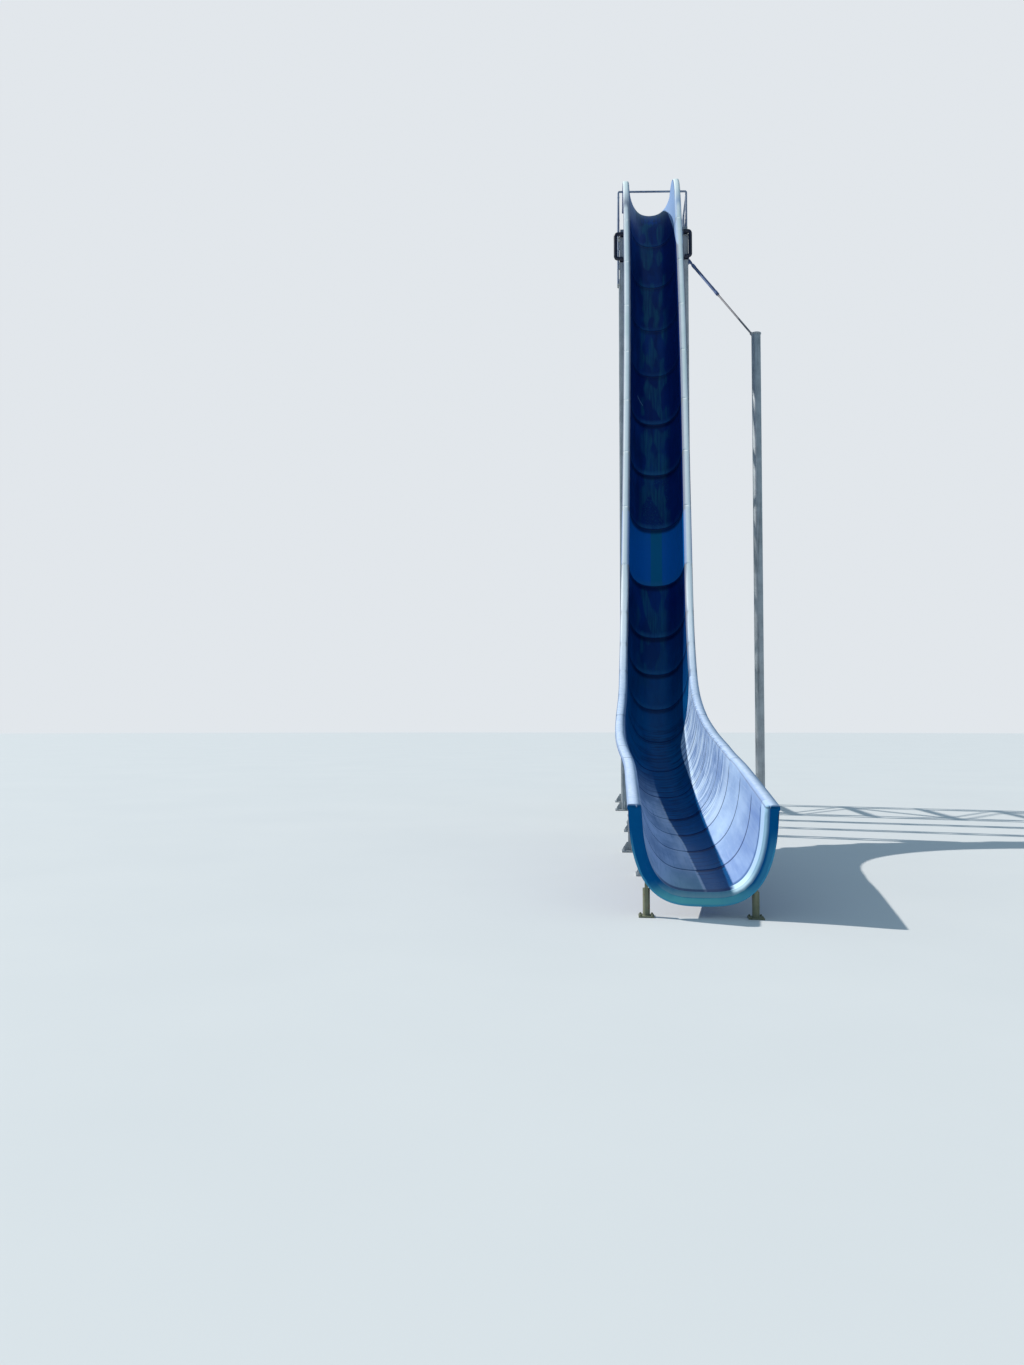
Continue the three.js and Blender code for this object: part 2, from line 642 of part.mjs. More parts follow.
// the origin goes to the middle of the footprint, on the ground
const bounds = new THREE.Box3().setFromObject(group);
const middle = bounds.getCenter(new THREE.Vector3());
for (const mesh of group.children) mesh.geometry.translate(-middle.x, -middle.y, -bounds.min.z);

export default group;
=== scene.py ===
# %% [markdown]
# # A speed slide with its start tower
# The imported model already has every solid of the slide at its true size. This lesson gives it its looks:
# weathered gelcoat on the chute, round tubes with welds and bolts, grating on the deck, and dull zinc on
# the steel. Each step says what the piece is on the real slide and why it is made the way it is.

# %% Load the model as a fixed frame
import json
import math
from contextlib import contextmanager

import bmesh
import bpy
import numpy as np
from mathutils import Matrix, Vector

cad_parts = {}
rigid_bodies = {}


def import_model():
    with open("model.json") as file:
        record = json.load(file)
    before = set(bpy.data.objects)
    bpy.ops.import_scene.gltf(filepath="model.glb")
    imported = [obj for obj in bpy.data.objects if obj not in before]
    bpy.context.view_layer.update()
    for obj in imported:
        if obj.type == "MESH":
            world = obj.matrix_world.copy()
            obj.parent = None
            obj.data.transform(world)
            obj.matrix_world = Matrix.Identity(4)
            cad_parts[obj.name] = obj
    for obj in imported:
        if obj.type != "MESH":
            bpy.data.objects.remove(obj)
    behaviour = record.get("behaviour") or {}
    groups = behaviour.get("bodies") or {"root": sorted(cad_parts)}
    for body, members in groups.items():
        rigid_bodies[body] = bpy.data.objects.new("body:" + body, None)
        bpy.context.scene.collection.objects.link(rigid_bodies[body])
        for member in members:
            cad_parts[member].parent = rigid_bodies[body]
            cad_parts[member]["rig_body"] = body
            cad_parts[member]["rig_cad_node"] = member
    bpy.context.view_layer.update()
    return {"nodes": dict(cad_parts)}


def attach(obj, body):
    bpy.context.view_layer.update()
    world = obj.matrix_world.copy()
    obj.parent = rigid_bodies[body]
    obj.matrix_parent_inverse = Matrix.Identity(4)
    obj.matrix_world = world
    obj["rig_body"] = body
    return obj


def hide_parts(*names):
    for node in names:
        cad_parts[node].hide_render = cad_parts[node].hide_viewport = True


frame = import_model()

nodes = frame["nodes"]

# %% [markdown]
# ## The line of the chute
# The floor of the chute is drawn in the builder's own coordinates: y is 0 at the mouth and x is 0 at the
# middle of the tower. The model stands on the middle of its footprint, so one shift joins the two. The
# camera, the bolts and the paint of the chute all measure from this line, so it comes first.

# %% The line of the chute floor
SHIFT = Vector((-0.6848328, -7.0351377, 0.0))
RUNOUT_SLOPE, STEEP_SLOPE = math.radians(5), math.radians(65.5)
RUNOUT, CURVE_RADIUS, STEEP, CREST_RADIUS, TUB = 2.650, 5.680, 8.762, 0.800, 0.900
CURVE_START = RUNOUT
STEEP_START = CURVE_START + CURVE_RADIUS * (STEEP_SLOPE - RUNOUT_SLOPE)
CREST_START = STEEP_START + STEEP
TUB_START = CREST_START + CREST_RADIUS * STEEP_SLOPE
LINE_END = TUB_START + TUB


def walk(y, z, slope, run):
    return y + run * math.cos(slope), z + run * math.sin(slope), slope


def curl(y, z, slope, new_slope, radius):
    return (y + radius * (math.sin(new_slope) - math.sin(slope)),
            z + radius * (math.cos(slope) - math.cos(new_slope)), new_slope)


def floor_at(s):
    """Place and slope of the chute floor, s metres uphill from the mouth."""
    here = walk(0.0, 0.225, RUNOUT_SLOPE, min(s, RUNOUT))
    if s > CURVE_START:
        slope = RUNOUT_SLOPE + (min(s, STEEP_START) - CURVE_START) / CURVE_RADIUS
        here = curl(*here, slope, CURVE_RADIUS)
    if s > STEEP_START:
        here = walk(*here, min(s, CREST_START) - STEEP_START)
    if s > CREST_START:
        slope = STEEP_SLOPE - (min(s, TUB_START) - CREST_START) / CREST_RADIUS
        here = curl(*here, slope, -CREST_RADIUS)
    if s > TUB_START:
        here = walk(*here, s - TUB_START)
    return here


print("top of the line", [round(v, 3) for v in floor_at(LINE_END)], "after", round(LINE_END, 3), "m")

# %% [markdown]
# The chute bows a little to the left in plan, and it is wider and deeper in its lower half. The wall is a
# list of points, as shares of the half width and of the height, from the middle of the floor up to the lip.
# Over the run-out it becomes squarer, so a second list gives the heights of the same points at the mouth.
# The last 45 mm before the mouth are the roll of its edge and keep one shape.

# %% Width, depth and wall of the chute
WALL = [(0, 0), (.17, .0075), (.34, .034), (.49, .079), (.62, .155), (.74, .255),
        (.83, .375), (.9, .5), (.95, .64), (.985, .8), (1, 1)]
MOUTH_WALL = (0, .001, .009, .034, .083, .168, .275, .405, .553, .737, 1)
LIP_ROLL, MOUTH_ROLL = 0.035, 0.045
BOW, BOW_AT = 0.160, 5.1


def ease(t):
    t = min(1.0, max(0.0, t))
    return t * t * (3 - 2 * t)


def bow_at(y):
    """Place of the middle of the chute in plan. The bow fades out sooner towards the mouth."""
    reach = 3.1 if y < BOW_AT else 5.5
    return -BOW / 2 * (1 + math.cos(math.pi * min(1.0, abs(y - BOW_AT) / reach)))


def size_at(s):
    """Half the width inside, width of the lip, and depth. It widens between 6.1 and 3.3 m of the line."""
    flare = ease((6.1 - s) / 2.8)
    lip = 0.125 + 0.008 * flare
    depth = 0.80 + 0.13 * s / 3.4 if s < 3.4 else 0.67 + 0.26 * ease((8.9 - s) / 5.5)
    return (1.110 + 0.238 * flare) / 2 - lip, lip, depth


def wall_at(s):
    """The wall in metres, from the middle of the floor up to the roll of the lip."""
    half, _, depth = size_at(s)
    square = max(0.0, 1 - max(0.0, s - MOUTH_ROLL) / (RUNOUT - MOUTH_ROLL)) ** 2
    return [Vector((x * half, (v + (mouth - v) * square) * (depth - LIP_ROLL)))
            for (x, v), mouth in zip(WALL, MOUTH_WALL)]


def on_chute(s, across, up, nudge=0.0):
    """Point of the chute: across from its middle, up square to its floor, nudged along it."""
    y, z, slope = floor_at(s)
    c, n = math.cos(slope), math.sin(slope)
    return Vector((bow_at(y) + across, y - up * n + nudge * c, z + up * c + nudge * n)) + SHIFT


def along_chute(s):
    slope = floor_at(s)[2]
    return Vector((0, math.cos(slope), math.sin(slope)))


print("inside width at the mouth and on the drop", 2 * size_at(0)[0], 2 * size_at(12)[0])

# %% [markdown]
# ## Camera
# The photograph was taken at eye height, about nine metres in front of the mouth and a little to its left.
# The joints of the chute, its lips and the start bar fix the place and the angle. Depth of field stays off.

# %% Camera
EYE = Vector((-0.802, -9.373, 1.729)) + SHIFT
bpy.ops.object.camera_add(location=EYE, rotation=(math.radians(92.37), 0, math.radians(5.60)))
camera = bpy.context.active_object
camera.name = "camera"
SENSOR, FOCAL_PIXELS, PICTURE_ROWS = 36, 1025, 1365
camera.data.sensor_width = SENSOR
camera.data.lens = SENSOR * FOCAL_PIXELS / PICTURE_ROWS
camera.data.clip_end = 500
bpy.context.scene.camera = camera
print("lens", round(camera.data.lens, 2), "mm, eye at", [round(v, 2) for v in EYE])

# %% [markdown]
# ## Light and floor
# A plain pale floor and a pale room. The key light comes from the upper left and from behind the slide, as
# in the photograph, so that the left lip throws its shadow across the trough and the right wall stays lit.
# The fill is even and cool, and the camera sees a paler room than the one that lights the slide. The floor
# is a wide disc, large enough to run out to the horizon.

# %% Key light, fill and floor
KEY_FROM = Vector((-1.0, 0.27, 1.0)).normalized()
bpy.ops.object.light_add(type="SUN", location=(-8, 6, 14))
key = bpy.context.active_object
key.name = "key_light"
key.rotation_euler = KEY_FROM.to_track_quat("Z", "Y").to_euler()
key.data.energy = 3.6
key.data.angle = math.radians(0.8)
key.data.color = (1.0, 0.965, 0.91)

room = bpy.data.worlds.new("pale_room")
bpy.context.scene.world = room
room.use_nodes = True
air = room.node_tree
air.nodes.clear()
path = air.nodes.new("ShaderNodeLightPath")
either = air.nodes.new("ShaderNodeMixShader")
air.links.new(path.outputs["Is Camera Ray"], either.inputs[0])
FILL, SEEN = ((0.54, 0.78, 1.0, 1), 0.52), ((0.80, 0.84, 0.88, 1), 0.95)
for inlet, (colour, strength) in ((1, FILL), (2, SEEN)):
    sky = air.nodes.new("ShaderNodeBackground")
    sky.inputs["Color"].default_value = colour
    sky.inputs["Strength"].default_value = strength
    air.links.new(sky.outputs[0], either.inputs[inlet])
out = air.nodes.new("ShaderNodeOutputWorld")
air.links.new(either.outputs[0], out.inputs["Surface"])
bpy.context.scene.view_settings.view_transform = "Standard"

bpy.ops.object.select_all(action="DESELECT")
bpy.ops.mesh.primitive_circle_add(vertices=96, radius=220, fill_type="NGON", location=(0, 0, -0.002))
floor = bpy.context.active_object
floor.name = "studio_floor"
print("key light from", [round(v, 2) for v in KEY_FROM])

# %% [markdown]
# ## Working in edit mode
# An operator acts on all that is selected, so one helper always deselects everything first, and another
# opens a piece in edit mode and closes it again. Faces and edges are then picked by where they are. Most
# small parts start as a box or a cylinder, so those two have helpers as well.

# %% Selecting, editing and finishing


def only(*pieces):
    bpy.ops.object.select_all(action="DESELECT")
    for piece in pieces:
        piece.select_set(True)
    bpy.context.view_layer.objects.active = pieces[-1]
    return pieces[-1]


@contextmanager
def editing(piece, kind="VERT"):
    only(piece)
    bpy.ops.object.mode_set(mode="EDIT")
    bpy.ops.mesh.select_mode(type=kind)
    bpy.ops.mesh.select_all(action="DESELECT")
    yield bmesh.from_edit_mesh(piece.data)
    bpy.ops.object.mode_set(mode="OBJECT")


def pick(piece, parts, wanted):
    """Selects the vertices, edges or faces for which wanted() holds, and nothing else."""
    bm = bmesh.from_edit_mesh(piece.data)
    for part in getattr(bm, parts):
        part.select_set(bool(wanted(part)))
    bmesh.update_edit_mesh(piece.data)
    return sum(part.select for part in getattr(bm, parts))


def box(size, centre=(0, 0, 0)):
    bpy.ops.object.select_all(action="DESELECT")
    bpy.ops.mesh.primitive_cube_add(size=1, location=centre)
    piece = bpy.context.active_object
    piece.scale = size
    bpy.ops.object.transform_apply(location=True, rotation=True, scale=True)
    return piece


def cylinder(sides, radius, tall, z=0.0):
    bpy.ops.object.select_all(action="DESELECT")
    bpy.ops.mesh.primitive_cylinder_add(vertices=sides, radius=radius, depth=tall, location=(0, 0, z))
    return bpy.context.active_object


def finish(piece, name, node_names, paint, smooth=40):
    """Names a piece, shades it, puts its place in its mesh, and lets it stand for its solids."""
    piece.name = piece.data.name = name
    only(piece)
    bpy.ops.object.transform_apply(location=True, rotation=True, scale=True)
    bpy.ops.object.shade_smooth_by_angle(angle=math.radians(smooth))
    piece.data.materials.clear()
    piece.data.materials.append(paint)
    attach(piece, "root")
    if node_names:
        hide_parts(*node_names)
    return piece


# %% [markdown]
# ## Writing a material as sums
# A material is a sum of masks and colours. A small class wraps one socket, so that masks are added and
# multiplied as numbers are in Python. A mask rises with step, falls with fade, and does both with band.

# %% The shader maths


class Mask:
    """One output of a node, with the sums that a shader needs."""

    def __init__(self, tree, socket):
        self.tree, self.socket = tree, socket

    def maths(self, operation, *values):
        node = self.tree.nodes.new("ShaderNodeMath")
        node.operation = operation
        for inlet, value in zip(node.inputs, values):
            plug(self.tree, inlet, value)
        return Mask(self.tree, node.outputs[0])

    def __add__(self, other):
        return self.maths("ADD", self, other)

    def __radd__(self, other):
        return self.maths("ADD", other, self)

    def __sub__(self, other):
        return self.maths("SUBTRACT", self, other)

    def __rsub__(self, other):
        return self.maths("SUBTRACT", other, self)

    def __mul__(self, other):
        return self.maths("MULTIPLY", self, other)

    def __rmul__(self, other):
        return self.maths("MULTIPLY", other, self)

    def __truediv__(self, other):
        return self.maths("DIVIDE", self, other)

    def __abs__(self):
        return self.maths("ABSOLUTE", self)

    def least(self, other):
        return self.maths("MINIMUM", self, other)

    def most(self, other):
        return self.maths("MAXIMUM", self, other)

    def pingpong(self, reach):
        return self.maths("PINGPONG", self, reach)

    def step(self, low, high, bottom=0.0, top=1.0):
        """Rises smoothly from bottom at low to top at high."""
        node = self.tree.nodes.new("ShaderNodeMapRange")
        node.interpolation_type = "SMOOTHSTEP"
        for inlet, value in zip(node.inputs, (self, low, high, bottom, top)):
            plug(self.tree, inlet, value)
        return Mask(self.tree, node.outputs[0])

    def fade(self, low, high):
        """Falls smoothly from 1 at low to 0 at high."""
        return 1 - self.step(low, high)

    def band(self, low, full, end_full, high):
        """Rises between the first two places and falls again between the last two."""
        return self.step(low, full) * self.fade(end_full, high)


def plug(tree, inlet, value):
    """Links a mask to an input, or sets the input to a value."""
    if isinstance(value, Mask):
        tree.links.new(value.socket, inlet)
    elif isinstance(value, (tuple, list)) and len(value) == 3 and inlet.type == "RGBA":
        inlet.default_value = (*value, 1)
    else:
        inlet.default_value = value


print("a mask adds, multiplies, rises and falls")

# %% [markdown]
# One finish is one material. Its method node makes any node, and the others are short names for those that
# are used most. Colours are blended with a Mix node, because a Math node would turn them grey.

# %% Tones and finishes


def tone(r, g, b):
    """A colour as read on a screen, 0 to 255, in the linear numbers that a shader takes."""
    return tuple(c / 12.92 if c <= 0.04045 else ((c + 0.055) / 1.055) ** 2.4
                 for c in (r / 255, g / 255, b / 255))


class Finish:
    """A material that is written from top to bottom and ends in one Principled shader."""

    def __init__(self, name, **constants):
        self.material = bpy.data.materials.new(name)
        self.material.use_nodes = True
        self.tree = self.material.node_tree
        self.tree.nodes.clear()
        self.shader = self.tree.nodes.new("ShaderNodeBsdfPrincipled")
        end = self.tree.nodes.new("ShaderNodeOutputMaterial")
        self.tree.links.new(self.shader.outputs[0], end.inputs["Surface"])
        for socket, value in constants.items():
            plug(self.tree, self.shader.inputs[socket.replace("_", " ")], value)

    def node(self, kind, settings, sockets, outlet=0):
        made = self.tree.nodes.new(kind)
        for setting, value in settings.items():
            setattr(made, setting, value)
        for socket, value in sockets.items():
            plug(self.tree, made.inputs[socket], value)
        return Mask(self.tree, made.outputs[outlet])

    def place(self):
        return self.node("ShaderNodeTexCoord", {}, {}, "Object")

    def uv(self, name):
        split = self.node("ShaderNodeSeparateXYZ", {}, {"Vector": self.node(
            "ShaderNodeUVMap", {"uv_map": name}, {})})
        return split, Mask(self.tree, split.socket.node.outputs[1])

    def xyz(self, vector):
        split = self.node("ShaderNodeSeparateXYZ", {}, {"Vector": vector})
        return [Mask(self.tree, outlet) for outlet in split.socket.node.outputs]

    def vector(self, x, y, z=0.0):
        return self.node("ShaderNodeCombineXYZ", {}, {"X": x, "Y": y, "Z": z})

    def stretched(self, vector, x, y, z):
        return self.node("ShaderNodeMapping", {}, {"Vector": vector, "Scale": (x, y, z)})

    def noise(self, vector, scale, detail=3.0, roughness=0.55):
        return self.node("ShaderNodeTexNoise", {}, {
            "Vector": vector, "Scale": scale, "Detail": detail, "Roughness": roughness}, "Fac")

    def blend(self, under, over, mask):
        mix = self.tree.nodes.new("ShaderNodeMix")
        mix.data_type, mix.clamp_factor = "RGBA", True
        plug(self.tree, mix.inputs["Factor"], mask)
        plug(self.tree, [i for i in mix.inputs if i.identifier == "A_Color"][0], under)
        plug(self.tree, [i for i in mix.inputs if i.identifier == "B_Color"][0], over)
        return Mask(self.tree, [o for o in mix.outputs if o.identifier == "Result_Color"][0])

    def layers(self, under, *overs):
        """Lays colours over one another, each as far as its mask says."""
        for over, mask in overs:
            under = self.blend(under, over, mask)
        return under

    def bump(self, height, distance, strength=1.0, under=None):
        sockets = {"Height": height, "Distance": distance, "Strength": strength}
        if under is not None:
            sockets["Normal"] = under
        return self.node("ShaderNodeBump", {}, sockets)

    def ends_in(self, colour, roughness, normal=None, **more):
        plug(self.tree, self.shader.inputs["Base Color"], colour)
        plug(self.tree, self.shader.inputs["Roughness"], roughness)
        if normal is not None:
            plug(self.tree, self.shader.inputs["Normal"], normal)
        for socket, value in more.items():
            plug(self.tree, self.shader.inputs[socket.replace("_", " ")], value)
        return self.material


print("pale grey reads", [round(c, 3) for c in tone(214, 214, 210)])

# %% [markdown]
# The studio floor is a pale matt sheet with a slight cloudiness, so that it isn't one flat value.

# %% Finish of the studio floor
pale = Finish("studio_floor_finish")
cloud = pale.noise(pale.place(), 0.35, 4.0)
floor.data.materials.append(pale.ends_in(
    pale.blend(tone(205, 207, 207), tone(213, 214, 213), cloud), cloud.step(0, 1, 0.82, 0.9)))

# %% [markdown]
# ## The chute, section by section
# The real chute is a row of moulded laminate sections, bolted together through flanges on their backs. The
# solids are right in size but have a few flat faces across the curve. A merged copy of each solid keeps its
# true corners as creases, and a subdivision surface rounds the trough and the lip between them.

# %% Names and ends of the sections
joints = [0.0, RUNOUT / 3, 2 * RUNOUT / 3, RUNOUT]
joints += [CURVE_START + (STEEP_START - CURVE_START) * k / 8 for k in range(1, 8)]
FIRST_ON_DROP, DROP_PITCH = 0.246, 1.127
joints += [STEEP_START + FIRST_ON_DROP + DROP_PITCH * k for k in range(8)]
joints += [TUB_START, LINE_END]
section_names = ["exit_section", "runout_section_1", "runout_section_2"]
section_names += [f"curve_section_{k}" for k in range(1, 9)]
section_names += [f"steep_section_{k}" for k in range(1, 8)] + ["crest_section", "start_tub"]
sections = list(zip(section_names, joints, joints[1:]))
print(len(sections), "sections, joints at", [round(s, 2) for s in joints])

# %% A merged copy of a solid


def merged_copy(node_name):
    """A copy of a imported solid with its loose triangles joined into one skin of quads."""
    only(nodes[node_name])
    bpy.ops.object.duplicate(linked=False)
    piece = bpy.context.active_object
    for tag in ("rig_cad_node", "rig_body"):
        del piece[tag]
    piece.parent = None
    with editing(piece):
        bpy.ops.mesh.select_all(action="SELECT")
        bpy.ops.mesh.remove_doubles(threshold=0.0001)
        bpy.ops.mesh.tris_convert_to_quads()
    return piece


def crease_corners(piece, angle):
    """Keeps every edge that turns more than the angle sharp under a subdivision surface."""
    with editing(piece, "EDGE"):
        bpy.ops.mesh.edges_select_sharp(sharpness=math.radians(angle))
        bpy.ops.transform.edge_crease(value=1.0)


def rounded_skin(piece, levels):
    only(piece)
    soft = piece.modifiers.new("soft", "SUBSURF")
    soft.levels = soft.render_levels = levels
    bpy.ops.object.modifier_apply(modifier=soft.name)


# %% [markdown]
# The paint has to follow the chute: water marks run down it and dirt lies along its joints. So each section
# gets four maps in metres: how far round the wall and along the line a point is, where it is in the cross
# section, how far it is from the two ends of its section, and how deep in the laminate and how far below
# the lip it lies, which tells the inside from the back.

# %% Where a point lies on the chute


def along_the_line(spot, start, end):
    """Metres along the line for every point, and place, height and slope of the floor there."""
    run = np.arange(start - 0.03, end + 0.0301, 0.002)
    line = np.array([floor_at(s) for s in run])
    miss = ((spot[:, None, 1] - line[:, 0]) * np.cos(line[:, 2])
            + (spot[:, None, 2] - line[:, 1]) * np.sin(line[:, 2]))
    best = np.abs(miss).argmin(axis=1)
    return run[best] + miss[np.arange(len(best)), best], line[best].T


def round_the_wall(s, across, up):
    """How far round the wall every point is, how far outside its inner face, and how far below the lip."""
    half, _, depth = np.array([size_at(v) for v in s]).T
    square = np.clip(1 - np.clip(s - MOUTH_ROLL, 0, None) / (RUNOUT - MOUTH_ROLL), 0, None) ** 2
    wall = [(x, v + (mouth - v) * square) for (x, v), mouth in zip(WALL, MOUTH_WALL)]
    wall.append((1.0, 1.05 + 0 * square))
    nearest = np.full(len(s), 9.0)
    girth, skin, done = np.zeros((3, len(s)))
    for (x0, v0), (x1, v1) in zip(wall, wall[1:]):
        a = np.stack([x0 * half, v0 * (depth - LIP_ROLL)], 1)
        b = np.stack([x1 * half, v1 * (depth - LIP_ROLL)], 1)
        p = np.stack([np.abs(across), up], 1)
        step = b - a
        length = np.linalg.norm(step, axis=1)
        share = np.clip(((p - a) * step).sum(1) / length ** 2, 0, 1)
        gap = p - (a + step * share[:, None])
        distance = np.linalg.norm(gap, axis=1)
        outside = np.sign(step[:, 1] * gap[:, 0] - step[:, 0] * gap[:, 1])
        closer = distance < nearest
        nearest = np.where(closer, distance, nearest)
        girth = np.where(closer, done + share * length, girth)
        skin = np.where(closer, distance * outside, skin)
        done = done + length
    return girth * np.sign(across), skin, depth - up


print("two measures of a point: along the line, and round the wall")

# %% [markdown]
# The maps are written as UV layers, one value a corner, and the number of the batch as an attribute. The
# batch says which sections were moulded together, so the paint can make them differ a little.

# %% Writing the maps


def unroll(piece, start, end, batch):
    """Writes the four maps and the batch, and returns the stretch of the line that the piece covers."""
    mesh = piece.data
    spot = np.empty(len(mesh.vertices) * 3)
    mesh.vertices.foreach_get("co", spot)
    spot = spot.reshape(-1, 3) - np.array(SHIFT)
    s, (y, z, slope) = along_the_line(spot, start, end)
    up = (spot[:, 2] - z) * np.cos(slope) - (spot[:, 1] - y) * np.sin(slope)
    across = spot[:, 0] - np.array([bow_at(v) for v in y])
    girth, skin, below_lip = round_the_wall(s, across, up)

    corner = np.empty(len(mesh.loops), int)
    mesh.loops.foreach_get("vertex_index", corner)
    for name, u, v in (("flow", girth, s), ("cross", across, up),
                       ("panel", s - start, end - s), ("trim", skin, below_lip)):
        layer = mesh.uv_layers.get(name) or mesh.uv_layers.new(name=name)
        layer.data.foreach_set("uv", np.stack([u, v], 1)[corner].ravel())
    kind = mesh.attributes.new("batch", "FLOAT", "POINT")
    kind.data.foreach_set("value", np.full(len(s), batch, np.float32))
    return round(float(s.min()), 3), round(float(s.max()), 3)


print("maps: flow, cross, panel, trim")

# %% [markdown]
# ## Gelcoat
# The chute is glass-fibre laminate with one blue gelcoat. In the trough it is painted a deep navy, partly
# painted shade, with greenish lime down the middle and a dark line of dirt at every joint. On the lips, in
# the lower curve and over the crest, where the sun falls, it is painted chalky and pale: partly chalk,
# partly painted sunlight. Painting this by hand would tie it to one mesh, so it is written as masks, in
# metres on the maps of the chute, and a streak keeps its width round the bend. Each pair of numbers below
# is the
# stretch over which a mask rises or fades: metres along the line for run, metres round the wall for girth.

# %% Maps and noises of the gelcoat
gel = Finish("blue_gelcoat", Coat_Roughness=0.16, Specular_IOR_Level=0.22, Specular_Tint=(0.04, 0.34, 1.0))
spot = gel.place()
girth, run = gel.uv("flow")
across, up = gel.uv("cross")
from_low, from_high = gel.uv("panel")
skin, below_lip = gel.uv("trim")
batch = gel.node("ShaderNodeAttribute", {"attribute_name": "batch"}, {}, "Fac")

flow = gel.vector(girth, run)
streaks = gel.noise(gel.stretched(flow, 9, 0.55, 1), 1.0, 4.0, 0.6)
fine_streaks = gel.noise(gel.stretched(flow, 34, 1.3, 1), 1.0, 3.0, 0.6)
clouds = gel.noise(gel.stretched(flow, 2.6, 1.1, 1), 1.0, 4.0, 0.6)
mottle = gel.noise(spot, 26.0, 4.0, 0.6)
pores = gel.noise(spot, 210.0, 2.0, 0.5)
waver = (mottle - 0.5) * 0.012
print(len(gel.tree.nodes), "nodes in the maps and noises")

# %% [markdown]
# A few masks serve everywhere: the lip and the back of the laminate, the distance to the nearer joint, the
# one section that was replaced, and the middle of the floor where water runs. Below the curve the water
# keeps a little to the left.

# %% Parts of the surface
on_lip = below_lip.fade(0.018, 0.040)
back = skin.step(0.004, 0.0075) * below_lip.step(0.0, 0.006)
to_joint = from_low.least(from_high)
replaced = batch.step(0.5, 1.0)
middle = abs(girth + 0.08 - run.step(8.0, 11.0) * 0.08).fade(0.16, 0.34)
print("lip, back, joints, replaced section and middle")

# %% [markdown]
# The lower part of the chute is pale in two fields. The right wall is pale down to a line a third of a
# metre from the middle of the floor, and round the curve that line climbs to the lip. That line is the edge
# of the left lip's shadow, so this field is partly bleached by sun and lime and partly painted sunlight.
# The left side of the run-out is painted grey up to a pale streak that wanders along the middle, and paler
# still beside it: the grey is painted reflection of the lit right wall. Near the top of the chute the right
# wall is painted pale again over the crest, as sunlight up to the edge of the left lip's shadow.

# %% Where the laminate is bleached or worn
# The edge of the pale right-wall field follows the shadow of the left lip: partly bleaching, partly painted
# sunlight.
wall_edge = 0.29 + run.step(1.8, 4.2) * 0.11 - run.step(4.4, 5.2) * 0.04 + run.step(5.3, 6.4) * 0.70
low_field = (girth - wall_edge + waver).step(-0.008, 0.010) * run.fade(6.2, 6.6)
# Over the crest the pale field is painted sunlight, up to the shadow of the left lip.
crest_edge = 0.36 + (17.61 - run) * 0.343
bleached_and_sunlit = low_field.most((girth - crest_edge + waver).step(-0.01, 0.012) * run.step(15.6, 16.2))

streak_at = 0.025 - run * 0.027
beside = girth - streak_at + (streaks - 0.5) * 0.03
# Grey field on the left of the run-out: painted reflection of the lit right wall.
reflected_light_field = beside.fade(-0.014, 0.010) * run.fade(3.7, 5.0) * (0.80 + 0.20 * clouds.step(0.3, 0.6))
pale_streak = abs(beside).fade(0.004, 0.020) * run.fade(3.6, 4.4) * streaks.step(0.20, 0.45)
pale_side = beside.fade(0.0, 0.008) * (beside + 0.20).step(0, 0.16) * run.band(0.3, 1.6, 3.4, 4.2)
in_shade = (1 - bleached_and_sunlit) * (1 - reflected_light_field)
print("bleached and worn fields")

# %% [markdown]
# In the shade the gelcoat is painted a deep navy, partly painted shade, darker towards the right wall and
# on some of the sections. It carries greenish lime down the middle, in patches as wide as a rider. The
# replaced section is a brighter blue, with a clean-edged green stripe where the water runs.

# %% Navy and lime
right_side, dark_batch = girth.step(0.12, 0.30), (batch * 2.5).step(0.6, 1.0)
stripe = abs(girth - 0.02).fade(0.085, 0.10)
patch = gel.noise(gel.stretched(flow, 5.2, 1.9, 1), 1.0, 1.0, 0.3).step(0.46, 0.56)
lime = middle * patch * (0.35 + 0.65 * fine_streaks.step(0.40, 0.62)) * (1 - replaced) * run.step(6.0, 8.0)
speckle = gel.noise(spot, 42.0, 3.0, 0.7).step(0.52, 0.66) * middle * abs(run - 10.5).fade(0.5, 0.9)
# Navy of the trough, partly painted shade, with lime and the replaced section laid over it.
navy_shade_and_lime = gel.layers(
    tone(3, 34, 92),
    (tone(6, 48, 116), clouds.step(0.35, 0.7)),
    (tone(2, 24, 84), streaks.step(0.50, 0.72) * 0.7),
    (tone(1, 22, 92), (right_side * 0.6).most(dark_batch * 0.5)),
    (gel.blend(tone(5, 92, 170), tone(4, 100, 140), stripe), replaced),
    (tone(26, 92, 116), (lime * 0.62).most(speckle * 0.45)))
print("navy and lime mixed")

# %% [markdown]
# The pale wall isn't one white. Low in the curve a near-white patch is painted sunlight: it reaches a
# little past the edge of the left lip's shadow and brightens the shade there. Round the curve the mould
# left ripples across the wall, drawn as pale bands and thin dark arcs. Towards the mouth the wall turns to
# lavender, just above the run-out it is a little paler, and at the crest it is a duller blue.

# %% The pale wall
# Near-white patch low in the curve: painted sunlight, laid into the edge of the left lip's shadow.
painted_sunlight_top = 0.34 + run.step(2.8, 5.2) * 0.21 + run.step(5.2, 6.4) * 0.08
painted_sunlight = (girth - painted_sunlight_top).fade(-0.03, 0.01) * run.band(3.0, 3.8, 6.0, 6.6)
ripples = gel.noise(gel.stretched(flow, 0.9, 13, 1), 1.0, 3.0, 0.6)
rippled = run.band(2.7, 3.1, 5.8, 6.2)
arcs = abs(ripples - 0.5).fade(0.010, 0.045) * rippled
